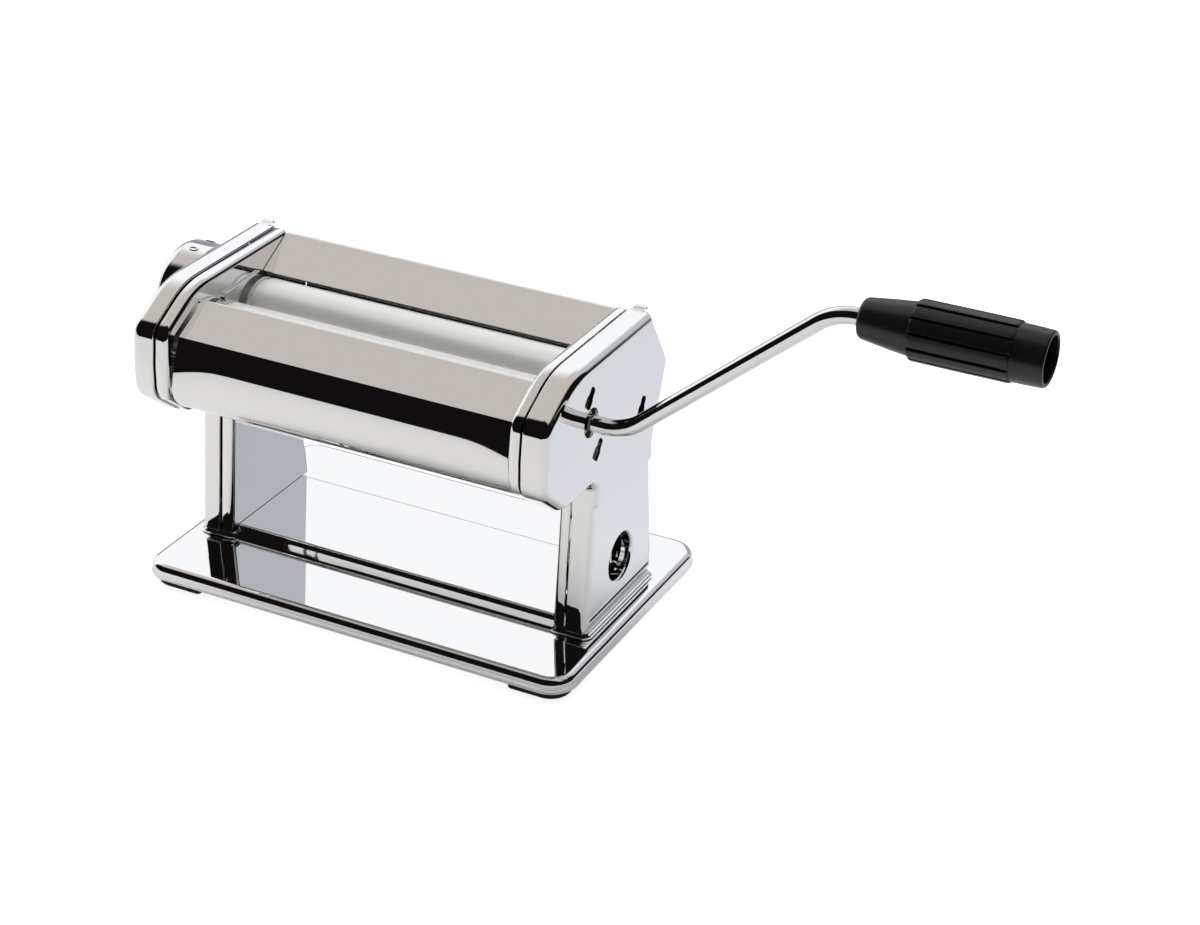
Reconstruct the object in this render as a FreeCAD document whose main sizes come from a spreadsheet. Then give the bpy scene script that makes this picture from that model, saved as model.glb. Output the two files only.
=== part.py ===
import FreeCAD, Part
import math
import os
import re
import Sketcher
from FreeCAD import Placement, Rotation, Vector

# Pasta machine with a hand crank. Millimetres; X runs along the rollers with
# the crank at +X, Y runs to the back, Z is up with the feet on z = 0.
# The sizes are worked out about the middle of the base; every piece is then
# moved by shift_x and shift_y so that the whole stands over the origin.

SIZES = (
    # pressed base and its feet
    ("base_half_x", "leg_out + base_margin"), ("base_margin", 8.2),
    ("base_half_y", 67.3), ("base_corner", 12.0),
    ("rim_low", 4.0), ("deck_top", 10.8), ("deck_edge", 3.0),
    ("base_sheet", 1.2), ("bead_out", 0.8), ("bead_tall", 2.0),
    ("pad_half_x", "leg_out + pad_lip_x"), ("pad_lip_x", 2.0),
    ("pad_half_y", "leg_back_low + pad_lip_y"), ("pad_lip_y", 1.0),
    ("pad_top", 13.5),
    ("stage_half_x", "frame_in - stage_gap"), ("stage_gap", 1.0),
    ("stage_half_y", "leg_back_low"), ("stage_top", 16.0),
    ("raised_corner", 6.0), ("raised_draft", 12.0), ("raised_edge", 1.5),
    ("foot_in_x", "foot_out_x - foot_long"), ("foot_long", 25.0),
    ("foot_out_x", "base_half_x - foot_rim_x"), ("foot_rim_x", 3.2),
    ("foot_in_y", "foot_out_y - foot_wide"), ("foot_wide", 20.2),
    ("foot_out_y", "base_half_y - foot_rim_y"), ("foot_rim_y", 3.1),
    ("foot_corner", 9.0), ("foot_small", 2.0),
    ("foot_step", 2.5), ("foot_edge", 0.8),
    ("screw_x", "leg_out - screw_inset"), ("screw_inset", 5.5),
    ("screw_y", 20.0), ("screw_r", 2.0),
    ("screw_head_r", 3.5), ("screw_head_tall", 2.2), ("screw_end", 18.6),
    ("screw_nut_r", 4.0), ("screw_nut_tall", 3.2), ("screw_play", 0.15),
    # side housings: an inner frame and an outer cover meeting at the seam
    ("frame_in", 80.0), ("seam", "frame_in + frame_deep"), ("frame_deep", 6.0),
    ("cover_out", "seam + cover_deep"), ("cover_deep", 11.5),
    ("leg_out", "cover_out - leg_step"), ("leg_step", 1.5),
    ("bevel_top", 73.5), ("bevel_low", 70.0),
    ("frame_sheet", 1.0), ("cover_sheet", 1.2),
    ("frame_edge", 2.4), ("cover_edge", 3.06), ("bevel_lift", 0.4),
    ("leg_front_low", -32.5), ("leg_front_top", -26.5), ("chin_z", 84.0),
    ("chin_front", -56.0), ("brow_y", -73.3), ("brow_low", 98.0),
    ("brow_mid", 112.0), ("brow_top_y", -71.6), ("brow_top", 128.0),
    ("crest_front", -48.5), ("crest_z", 141.0),
    ("crest_back", 21.0), ("back_y", 38.5), ("back_z", 113.5),
    ("leg_back_top", 26.5), ("leg_back_z", 80.0), ("leg_back_low", 32.5),
    ("round_neck", 5.0), ("round_chin", 10.0), ("round_brow", 10.0),
    ("round_brow_mid", 40.0), ("round_brow_top", 18.0), ("round_crest", 9.0),
    ("round_crest_back", 3.0),
    ("round_back", 4.0), ("round_leg_back", 8.0),
    ("clamp_z", 35.7), ("clamp_r", 10.5), ("clamp_mouth", 1.1),
    ("clamp_mouth_in", 0.66), ("clamp_deep", 5.0),
    ("crank_hole_r", 6.3), ("slot_long", 9.4), ("slot_narrow", 4.4),
    ("slot_wide", 6.0), ("slot_round", 1.4), ("slot_neck", 0.4),
    ("slot_step", 0.8), ("slot_small", 0.4),
    ("slot_a_y", -35.7), ("slot_a_z", 126.4), ("slot_a_tilt", -40.0),
    ("slot_b_y", -27.8), ("slot_b_z", 100.0), ("slot_b_tilt", -40.0),
    ("slot_c_y", 12.4), ("slot_c_z", 101.5), ("slot_c_tilt", -27.0),
    ("lug_in", "seam + lug_from_seam"), ("lug_from_seam", 2.0),
    ("lug_out", "lug_in + lug_wide"), ("lug_wide", 5.5), ("lug_sheet", 0.9),
    ("lug_root_y", 3.5), ("lug_root_z", 0.4), ("lug_bend_y", 0.5),
    ("lug_bend_z", 1.2), ("lug_crest_y", 1.4), ("lug_crest_z", 2.6),
    ("lug_tip_y", 2.8), ("lug_tip_z", 1.6), ("spare", 1.0),
    # rollers
    ("drive_y", -34.5), ("axis_z", 115.0), ("idle_y", -6.0),
    ("roller_r", 13.0), ("roller_end", "frame_in - roller_gap"), ("roller_gap", 3.0),
    ("ring_out", "roller_end - ring_inset"), ("ring_inset", 1.2),
    ("ring_in", "ring_out - ring_wide"), ("ring_wide", 2.4), ("ring_deep", 1.0),
    ("drive_neck_r", 7.0), ("idle_neck_r", 8.0), ("idle_bore_r", 5.25),
    ("drive_neck_end", "plate_out + neck_over"), ("neck_over", 0.5),
    ("idle_neck_end", "plate_out"),
    ("drive_tube_r", 5.6), ("drive_tube_end", "cover_out - tube_back"),
    ("tube_back", 2.3),
    ("run_play", 0.05), ("slide_play", 0.1), ("wide_play", 0.9),
    ("gap_travel", 2.2), ("neck_slot_round", 4.8),
    # gears
    ("gear_in", "frame_in + gear_gap"), ("gear_gap", 1.8),
    ("gear_out", "gear_in + gear_wide"), ("gear_wide", 4.9), ("gear_teeth", 10.0),
    ("gear_root_r", 10.0), ("gear_mid_r", 13.2), ("gear_tip_r", 15.9),
    ("gear_root_half", 9.0), ("gear_mid_half", 7.0), ("gear_tip_half", 3.4),
    ("tooth_sink", 0.8),
    # bearing plates, bushes and blocks
    ("plate_in", "gear_out + plate_gap"), ("plate_gap", 0.5),
    ("plate_out", "plate_in + plate_sheet"), ("plate_sheet", 2.5), ("bush_r", 9.0),
    ("plate_front", -64.0), ("plate_back", 31.0), ("plate_waist", 102.0),
    ("plate_shoulder", 118.0), ("plate_top", 130.0), ("plate_top_front", -46.0),
    ("plate_top_back", 16.0), ("plate_low", 86.5), ("plate_low_front", -50.0),
    ("plate_low_back", 9.0),
    ("block_half_y", 11.0), ("block_half_z", 10.0),
    ("block_in", "plate_in - slide_play"), ("web_in", "plate_out + slide_play"),
    ("web_out", "web_in + web_sheet"), ("web_sheet", 0.8),
    ("yoke_out", "web_out + yoke_deep"), ("yoke_deep", 2.8),
    ("yoke_wall", 3.6), ("yoke_half_z", 17.5), ("yoke_inner_z", 14.4),
    ("yoke_relief", 2.4), ("yoke_step", 0.1), ("yoke_round", 3.0),
    ("window_spare", 0.3),
    # gap adjuster
    ("adjust_y", -7.1), ("adjust_r", 3.0),
    ("adjust_right", "cover_out - adjust_back"), ("adjust_back", 1.9),
    ("adjust_left", "-(recess_floor + adjust_over)"), ("adjust_over", 2.2),
    ("cam_low_r", 11.6), ("cam_in", "web_out + cam_gap"), ("cam_gap", 0.2),
    ("cam_mid", "cam_in + cam_sheet"), ("cam_out", "cam_mid + cam_sheet"),
    ("cam_sheet", 1.2), ("step_turn", 33.0), ("step_count", 9.0),
    ("cup_in", "cam_out + cup_gap"), ("cup_gap", 0.6), ("cup_r", 6.0),
    ("sleeve_r", 5.0), ("sleeve_out", "dial_face - sleeve_back"), ("sleeve_back", 0.3),
    ("dial_r", 19.0), ("dial_bore_r", 5.6), ("dial_face", "cover_out + dial_sheet"),
    ("dial_sheet", 2.0), ("track_r", 14.0), ("track_half", 1.5),
    ("track_floor", "dial_face - track_deep"), ("track_deep", 1.2),
    ("click_r", 1.2), ("click_floor", "track_floor - click_deep"), ("click_deep", 0.4),
    ("pin_r", 1.2), ("pin_tip", "track_floor + pin_gap"), ("pin_gap", 0.3),
    ("pin_round", 0.84),
    ("knob_r", 22.6), ("knob_in", "dial_face + knob_gap"), ("knob_gap", 0.5),
    ("knob_out", "knob_in + knob_long"), ("knob_long", 17.5),
    ("knob_wall", 1.6), ("knob_hub_r", 8.5), ("knob_edge", 5.5),
    ("recess_r", 6.0), ("recess_floor", "knob_out - recess_deep"),
    ("recess_deep", 7.5), ("flat_half", 2.3), ("flat_gap", 0.2),
    ("washer_r", 5.4), ("washer_out", "-adjust_left + washer_sheet"),
    ("washer_sheet", 0.8), ("cap_r", 4.0),
    ("cap_out", "washer_out + cap_tall"), ("cap_tall", 1.6),
    ("cap_deep", "washer_out - tap_long"), ("tap_long", 9.0),
    ("cap_end", "washer_out - cap_long"), ("cap_long", 8.5),
    ("cap_shank_r", 1.5),
    # tie rods, spacers and nuts
    ("rod_r", 3.5), ("rod_end_r", 2.5), ("rod_end", "nut_out + rod_over"),
    ("rod_over", 0.6),
    ("rod_front_y", -56.0), ("rod_high_z", 108.0), ("rod_back_y", 24.0),
    ("rod_low_z", 91.5), ("rod_low_front", -42.0), ("rod_low_back", 1.5),
    ("spacer_r", 4.0), ("nut_r", 4.6), ("nut_out", "plate_out + nut_tall"),
    ("nut_tall", 2.9),
    # sheets over the rollers, end guides and scrapers
    ("sheet", 1.0), ("sheet_bend", 1.2), ("plate_bend", 3.0),
    ("bulge_bend", 36.0), ("belly_bend", 16.0), ("under_bend", 3.0),
    ("lip_y", -43.6), ("lip_z", 130.8), ("brink_y", -44.2), ("brink_z", 133.3),
    ("nose_y", -64.1), ("nose_z", 123.5), ("bulge_y", -68.6), ("bulge_z", 113.5),
    ("belly_z", 94.2), ("under_y", -56.0), ("under_z", 86.7),
    ("hem_y", -51.5), ("hem_z", 87.2),
    ("slope_low_y", 0.9), ("slope_low_z", 128.3), ("slope_top_y", 21.3),
    ("slope_top_z", 139.9), ("rear_y", 37.2), ("rear_z", 113.8),
    ("rear_low_y", 26.2), ("rear_low_z", 84.0), ("rear_hem_y", 22.8),
    ("rear_hem_z", 86.4),
    ("guide_in", "frame_in - guide_sheet"), ("guide_sheet", 1.8),
    ("guide_top", 130.0), ("guide_low", 98.0),
    ("guide_front", -51.0), ("guide_brow", 126.0), ("guide_top_front", -46.0),
    ("guide_top_back", -2.0), ("guide_notch", -0.8), ("guide_shelf", 126.4),
    ("guide_back", 14.0), ("guide_round", 3.0),
    ("scraper_half_x", "roller_end - scraper_inset"), ("scraper_inset", 0.4),
    ("scraper_eye", 5.0), ("blade_half", 1.6),
    ("blade_root", 3.2), ("blade_far_y", 2.72), ("blade_far_z", 11.25),
    ("blade_near_y", 1.82), ("blade_near_z", 11.62),
    # crank
    ("socket_r", 3.6), ("socket_round", "drive_tube_end - mouth_deep"),
    ("mouth_deep", 3.2), ("socket_floor", "socket_round - socket_deep"),
    ("socket_deep", 15.0), ("socket_half", 2.55), ("bar_r", 3.5),
    ("bar_tip", "socket_floor + tip_gap"), ("tip_gap", 2.0), ("bar_flat", 2.5),
    ("bar_shoulder", "socket_round + shoulder_gap"), ("shoulder_gap", 0.2),
    ("bend_one", "cover_out + bend_clear"), ("bend_clear", 15.25),
    ("bend_two", "bend_one + crank_run"), ("crank_run", 84.45),
    ("crank_throw", 71.4), ("bar_bend", 25.0),
    ("bar_end", "clip_out + bar_over"), ("bar_over", 2.7),
    ("grip_near", "bend_two + grip_clear"), ("grip_clear", 10.3),
    ("grip_far", "grip_near + grip_long"), ("grip_long", 72.5), ("grip_play", 0.08),
    ("grip_seat", "grip_far - mouth_hollow"), ("mouth_hollow", 18.0),
    ("grip_mouth_r", 8.8), ("clip_r", 7.0),
    ("clip_in", "grip_seat + clip_gap"), ("clip_gap", 0.3),
    ("clip_out", "clip_in + clip_sheet"), ("clip_sheet", 1.0),
    ("grip_start_r", 6.9), ("grip_neck_r", 7.8), ("grip_cone_r", 9.3),
    ("grip_shoulder_r", 10.2), ("grip_land_r", 11.7), ("grip_tail_r", 11.0),
    ("grip_rim_r", 10.7), ("land_near", "grip_near + land_lead"),
    ("land_lead", 21.0), ("land_far", "grip_far - land_tail"), ("land_tail", 12.5),
    ("land_gap", 1.3), ("land_deep", 0.9), ("land_count", 12.0),
    ("land_rise", 0.4), ("land_runout", 1.4), ("grip_lip", 1.0),
    ("grip_cone", 12.0), ("grip_rim", 1.0), ("grip_rim_edge", 0.8),
)

doc = FreeCAD.newDocument("pasta_machine")
sheet = doc.addObject("Spreadsheet::Sheet", "Sizes")
NAMES = set()
for row, (alias, amount) in enumerate(SIZES, 1):
    sheet.set("A%d" % row, alias)
    sheet.set("B%d" % row, "=" + amount if isinstance(amount, str) else repr(amount))
    sheet.setAlias("B%d" % row, alias)
    NAMES.add(alias)
doc.recompute()


def bound(text):
    """An expression in size names, ready to bind to a property."""
    return re.sub(r"[a-z][a-z_]*[a-z]", lambda hit: "Sizes." + hit.group(0)
                  if hit.group(0) in NAMES else hit.group(0), str(text))


def number(text):
    """The present value of an expression in size names."""
    return float(sheet.evalExpression(str(text)))


def put(thing, prop, text):
    thing.setExpression(prop, bound(text))


SHIFT_X = "-(grip_far - knob_out) / 2"
SHIFT_Y = "-(brow_y + base_half_y) / 2"
PIECES = []


def finish(thing, node, y="0", z="0"):
    """Name a finished piece, move it into the shared frame and list it."""
    thing.Label = node
    put(thing, "Placement.Base.x", SHIFT_X)
    put(thing, "Placement.Base.y", "%s + %s" % (y, SHIFT_Y))
    put(thing, "Placement.Base.z", z)
    PIECES.append(thing)
    return thing


def new_body(name):
    return doc.addObject("PartDesign::Body", name)


def plane_sketch(body, role, height="0"):
    """A sketch on one of the body's own planes, raised along its normal."""
    made = body.newObject("Sketcher::SketchObject", body.Name + "_outline")
    plane = [f for f in body.Origin.OriginFeatures if f.Role == role][0]
    made.AttachmentSupport = [(plane, "")]
    made.MapMode = "FlatFace"
    put(made, "AttachmentOffset.Base.z", height)
    doc.recompute()
    return made


def loose_sketch(name, role="YZ"):
    """A sketch outside any body: its x and y run along Y and Z, or X and Z."""
    made = doc.addObject("Sketcher::SketchObject", name)
    along = Vector(0, 1, 0) if role == "YZ" else Vector(1, 0, 0)
    normal = Vector(1, 0, 0) if role == "YZ" else Vector(0, -1, 0)
    turn = Rotation(along, Vector(0, 0, 1), normal, "ZXY")
    made.Placement = Placement(Vector(0, 0, 0), turn)
    return made


def hold(sketch, kind, line, end, text):
    """Fix one coordinate of a corner to an expression."""
    amount = number(text)
    if abs(amount) < 1e-9:
        axis = -2 if kind == "DistanceX" else -1
        sketch.addConstraint(Sketcher.Constraint("PointOnObject", line, end, axis))
        return
    made = sketch.addConstraint(Sketcher.Constraint(kind, -1, 1, line, end, amount))
    name = "%s%d" % (kind.lower(), made)
    sketch.renameConstraint(made, name)
    put(sketch, "Constraints." + name, text)


def draw(sketch, corners, rounds=None, closed=True):
    """Draw a chain of lines through corners, some of them rounded."""
    first = sketch.GeometryCount
    spots = [Vector(number(a), number(b), 0) for a, b in corners]
    count = len(spots)
    sides = count if closed else count - 1
    for i in range(sides):
        line = Part.LineSegment(spots[i], spots[(i + 1) % count])
        sketch.addGeometry(line, False)
    for i in range(sides if closed else sides - 1):
        after = first + (i + 1) % count
        sketch.addConstraint(Sketcher.Constraint("Coincident", first + i, 2, after, 1))
    for i, (a, b) in enumerate(corners):
        line, end = (first + i, 1) if i < sides else (first + i - 1, 2)
        hold(sketch, "DistanceX", line, end, a)
        hold(sketch, "DistanceY", line, end, b)
    for i, radius in (rounds or {}).items():
        before = sketch.GeometryCount
        sketch.fillet(first + i, 1, number(radius), True, True)
        for item in range(before, sketch.GeometryCount):
            if "ArcOfCircle" in sketch.Geometry[item].TypeId:
                made = sketch.addConstraint(
                    Sketcher.Constraint("Radius", item, number(radius)))
                name = "round%d" % made
                sketch.renameConstraint(made, name)
                put(sketch, "Constraints." + name, radius)
    doc.recompute()
    return sketch


def circle(sketch, a, b, radius):
    middle = Vector(number(a), number(b), 0)
    item = sketch.addGeometry(Part.Circle(middle, Vector(0, 0, 1), number(radius)), False)
    made = sketch.addConstraint(Sketcher.Constraint("Radius", item, number(radius)))
    sketch.renameConstraint(made, "radius%d" % made)
    put(sketch, "Constraints.radius%d" % made, radius)
    hold(sketch, "DistanceX", item, 3, a)
    hold(sketch, "DistanceY", item, 3, b)
    doc.recompute()
    return sketch


def box_corners(a0, a1, b0, b1):
    return [(a0, b0), (a1, b0), (a1, b1), (a0, b1)]


def all_round(radius, count=4):
    return {i: radius for i in range(count)}


def pad(body, sketch, length, back=False, draft="0"):
    made = body.newObject("PartDesign::Pad", body.Name + "_pad")
    made.Profile = sketch
    put(made, "Length", length)
    made.Reversed = back
    if draft != "0":
        put(made, "TaperAngle", draft)
    sketch.Visibility = False
    doc.recompute()
    return made


def pocket(body, sketch, length, back=False, draft="0"):
    made = body.newObject("PartDesign::Pocket", body.Name + "_pocket")
    made.Profile = sketch
    put(made, "Length", length)
    made.Reversed = back
    if draft != "0":
        put(made, "TaperAngle", draft)
    sketch.Visibility = False
    doc.recompute()
    return made


def through(body, sketch):
    """Cut a sketch through the whole body, both ways."""
    made = body.newObject("PartDesign::Pocket", body.Name + "_through")
    made.Profile = sketch
    made.Type = "ThroughAll"
    made.Midplane = True
    doc.recompute()
    return made


def ease(body, wanted, radius, kind="Fillet"):
    """Round or bevel the edges of the body's last feature that pass a test."""
    last = body.Tip
    names = ["Edge%d" % (i + 1) for i, e in enumerate(last.Shape.Edges) if wanted(e)]
    made = body.newObject("PartDesign::" + kind, body.Name + "_ease")
    made.Base = (last, names)
    put(made, "Radius" if kind == "Fillet" else "Size", radius)
    doc.recompute()
    return made


def turned(node, y, z, profile, finished=True):
    """A body turned about an axis along X from (x, radius) corners."""
    body = new_body(node)
    sketch = draw(plane_sketch(body, "XY_Plane"), profile)
    made = body.newObject("PartDesign::Revolution", node + "_turned")
    made.Profile = sketch
    made.ReferenceAxis = (sketch, ["H_Axis"])
    made.Angle = 360
    doc.recompute()
    if finished:
        finish(body, node, y, z)
    return body


def solid_from(name, source, low, high):
    """Push a flat outline along X from low to high."""
    made = doc.addObject("Part::Extrusion", name)
    made.Base = source
    made.DirMode = "Custom"
    made.Dir = Vector(1, 0, 0)
    put(made, "LengthFwd", high)
    put(made, "LengthRev", "-(%s)" % low)
    made.Solid = True
    doc.recompute()
    return made


def rod(name, radius, low, high, y, z, hexagon=False):
    """A plain cylinder, or a hexagon bar, along X."""
    kind = "Part::Prism" if hexagon else "Part::Cylinder"
    made = doc.addObject(kind, name)
    if hexagon:
        made.Polygon = 6
        put(made, "Circumradius", radius)
    else:
        put(made, "Radius", radius)
    put(made, "Height", "%s - (%s)" % (high, low))
    made.Placement = Placement(Vector(0, 0, 0), Rotation(Vector(0, 1, 0), 90))
    put(made, "Placement.Base.x", low)
    put(made, "Placement.Base.y", y)
    put(made, "Placement.Base.z", z)
    return made


def upright(name, radius, low, high, x, y, hexagon=False):
    """A plain cylinder, or a hexagon bar, along Z."""
    made = doc.addObject("Part::Prism" if hexagon else "Part::Cylinder", name)
    if hexagon:
        made.Polygon = 6
    put(made, "Circumradius" if hexagon else "Radius", radius)
    put(made, "Height", "%s - (%s)" % (high, low))
    put(made, "Placement.Base.x", x)
    put(made, "Placement.Base.y", y)
    put(made, "Placement.Base.z", low)
    return made


def cut(name, base, tool):
    made = doc.addObject("Part::Cut", name)
    made.Base = base
    made.Tool = tool
    doc.recompute()
    return made


def fuse(name, items):
    made = doc.addObject("Part::MultiFuse", name)
    made.Shapes = items
    doc.recompute()
    return made


def group(name, items):
    made = doc.addObject("Part::Compound", name)
    made.Links = items
    doc.recompute()
    return made


def signed(side, text):
    return text if side > 0 else "-(%s)" % text


SIDES = (("right", 1), ("left", -1))

# Pressed base: a shallow tray turned upside down, with a bead round the rim,
# two raised pads for the legs and a higher stage between them.

base = new_body("base_plate")
rim = plane_sketch(base, "XY_Plane", "rim_low")
draw(rim, box_corners("-base_half_x + bead_out", "base_half_x - bead_out",
                      "-base_half_y + bead_out", "base_half_y - bead_out"),
     all_round("base_corner - bead_out"))
pad(base, rim, "deck_top - rim_low")
ease(base, lambda e: e.BoundBox.ZMin > number("deck_top") - 0.01, "deck_edge")
bead = plane_sketch(base, "XY_Plane", "rim_low")
draw(bead, box_corners("-base_half_x", "base_half_x", "-base_half_y", "base_half_y"),
     all_round("base_corner"))
pad(base, bead, "bead_tall")
ease(base, lambda e: abs(e.BoundBox.ZMax - number("rim_low + bead_tall")) < 0.01
     and e.BoundBox.ZLength < 0.01
     and (max(abs(e.BoundBox.XMax), abs(e.BoundBox.XMin)) > number("base_half_x") - 0.1
          or max(abs(e.BoundBox.YMax), abs(e.BoundBox.YMin))
          > number("base_half_y") - 0.1), "bead_out / 2")
for part_x, part_y, top in (("pad_half_x", "pad_half_y", "pad_top"),
                            ("stage_half_x", "stage_half_y", "stage_top")):
    raised = plane_sketch(base, "XY_Plane", "deck_top")
    draw(raised, box_corners("-" + part_x, part_x, "-" + part_y, part_y),
         all_round("raised_corner"))
    pad(base, raised, top + " - deck_top", draft="-raised_draft")
    ease(base, lambda e: e.BoundBox.ZMin > number(top) - 0.01, "raised_edge")
hollow = plane_sketch(base, "XY_Plane", "rim_low")
draw(hollow, box_corners("-base_half_x + bead_out + base_sheet",
                         "base_half_x - bead_out - base_sheet",
                         "-base_half_y + bead_out + base_sheet",
                         "base_half_y - bead_out - base_sheet"),
     all_round("base_corner - bead_out - base_sheet"))
pocket(base, hollow, "deck_top - base_sheet - rim_low", back=True)
for part_x, part_y, top in (("pad_half_x", "pad_half_y", "pad_top"),
                            ("stage_half_x", "stage_half_y", "stage_top")):
    under = plane_sketch(base, "XY_Plane", "deck_top - base_sheet")
    draw(under, box_corners("-%s + base_sheet" % part_x, part_x + " - base_sheet",
                            "-%s + base_sheet" % part_y, part_y + " - base_sheet"),
         all_round("raised_corner - base_sheet"))
    pocket(base, under, top + " - deck_top", back=True, draft="-raised_draft")
holes = plane_sketch(base, "XY_Plane", "deck_top")
for sign_x in ("", "-"):
    for sign_y in ("", "-"):
        circle(holes, sign_x + "screw_x", sign_y + "screw_y", "screw_r + screw_play")
through(base, holes)
finish(base, "base_plate")

# Four rubber feet, each a block stuck up into a corner of the tray, with its
# outer corner rounded to follow the rim.

for node, sign_x, sign_y, outer in (("foot_front_left", "-", "-", 0),
                                    ("foot_front_right", "", "-", 1),
                                    ("foot_back_right", "", "", 2),
                                    ("foot_back_left", "-", "", 3)):
    foot = new_body(node)
    if sign_x:
        low_x, high_x = "-foot_out_x", "-foot_in_x"
    else:
        low_x, high_x = "foot_in_x", "foot_out_x"
    if sign_y:
        low_y, high_y = "-foot_out_y", "-foot_in_y"
    else:
        low_y, high_y = "foot_in_y", "foot_out_y"
    rounds = all_round("foot_small")
    rounds[outer] = "foot_corner"
    tread = plane_sketch(foot, "XY_Plane")
    draw(tread, box_corners(low_x, high_x, low_y, high_y), rounds)
    pad(foot, tread, "rim_low")
    ease(foot, lambda e: e.BoundBox.ZMax < 0.01, "foot_edge")
    stem = plane_sketch(foot, "XY_Plane", "rim_low")
    draw(stem, box_corners(low_x + " + foot_step", high_x + " - foot_step",
                           low_y + " + foot_step", high_y + " - foot_step"),
         all_round("foot_small"))
    pad(foot, stem, "deck_top - base_sheet - rim_low")
    finish(foot, node)

# Side housings. Each is a shallow inner frame and a deeper outer cover with
# the same outline, both hollow sheet pressings that meet at the seam. The hole
# for the table clamp runs through the right leg, its rims drawn inwards.

OUTLINE = [("leg_front_low", "pad_top"), ("leg_front_top", "chin_z"),
           ("chin_front", "chin_z"), ("brow_y", "brow_low"), ("brow_y", "brow_mid"),
           ("brow_top_y", "brow_top"), ("crest_front", "crest_z"),
           ("crest_back", "crest_z"),
           ("back_y", "back_z"), ("leg_back_top", "leg_back_z"),
           ("leg_back_low", "pad_top")]
OUTLINE_ROUNDS = {1: "round_neck", 2: "round_chin", 3: "round_brow",
                  4: "round_brow_mid", 5: "round_brow_top", 6: "round_crest",
                  7: "round_crest_back", 8: "round_back", 9: "round_leg_back"}
profile = draw(loose_sketch("housing_outline"), OUTLINE, OUTLINE_ROUNDS)


def inset(name, wall):
    made = doc.addObject("Part::Offset2D", name)
    made.Source = profile
    put(made, "Value", "-" + wall)
    made.Mode = "Pipe"
    made.Join = 0
    made.Fill = False
    doc.recompute()
    return made


frame_inset = inset("frame_inset", "frame_sheet")
cover_inset = inset("cover_inset", "cover_sheet")
RODS = (("rod_front_y", "rod_high_z"), ("rod_back_y", "rod_high_z"),
        ("rod_low_front", "rod_low_z"), ("rod_low_back", "rod_low_z"))


def neck_holes(sketch, play):
    """The hole for the driven roller's neck and the slot for the other."""
    circle(sketch, "drive_y", "axis_z", "drive_neck_r + " + play)
    half = "(idle_neck_r + %s)" % play
    draw(sketch, box_corners("idle_y - gap_travel - %s" % half, "idle_y + %s" % half,
                             "axis_z - %s" % half, "axis_z + %s" % half),
         all_round("neck_slot_round"))
    return sketch


for word, side in SIDES:
    node = "side_frame_" + word
    body = new_body(node + "_blank")
    draw(plane_sketch(body, "YZ_Plane", signed(side, "frame_in")),
         OUTLINE, OUTLINE_ROUNDS)
    outline = body.Group[-1]
    pad(body, outline, "seam - frame_in", back=side < 0)
    face = number("frame_in")
    ease(body, lambda e: abs(e.BoundBox.XMax * side - face) < 0.01
         and e.BoundBox.XLength < 0.01, "frame_edge")
    openings = plane_sketch(body, "YZ_Plane", signed(side, "frame_in"))
    neck_holes(openings, "wide_play")
    for rod_y, rod_z in RODS:
        circle(openings, rod_y, rod_z, "rod_end_r + run_play")
    if side > 0:
        circle(openings, "0", "clamp_z", "clamp_r")
        through(body, openings)
        ease(body, lambda e: abs(e.BoundBox.XMax - face) < 0.01
             and abs(e.BoundBox.YLength - 2 * number("clamp_r")) < 0.01
             and e.BoundBox.XLength < 0.01, "clamp_mouth_in")
        cavity = solid_from(node + "_cavity", frame_inset,
                            "frame_in + frame_sheet", "seam + spare")
        collar = rod(node + "_collar", "clamp_r + frame_sheet", "frame_in",
                     "frame_in + clamp_deep", "0", "clamp_z")
        cavity = cut(node + "_core", cavity, collar)
    else:
        through(body, openings)
        cavity = solid_from(node + "_cavity", frame_inset,
                            "-(seam + spare)", "-(frame_in + frame_sheet)")
    finish(cut(node, body, cavity), node)

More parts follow.
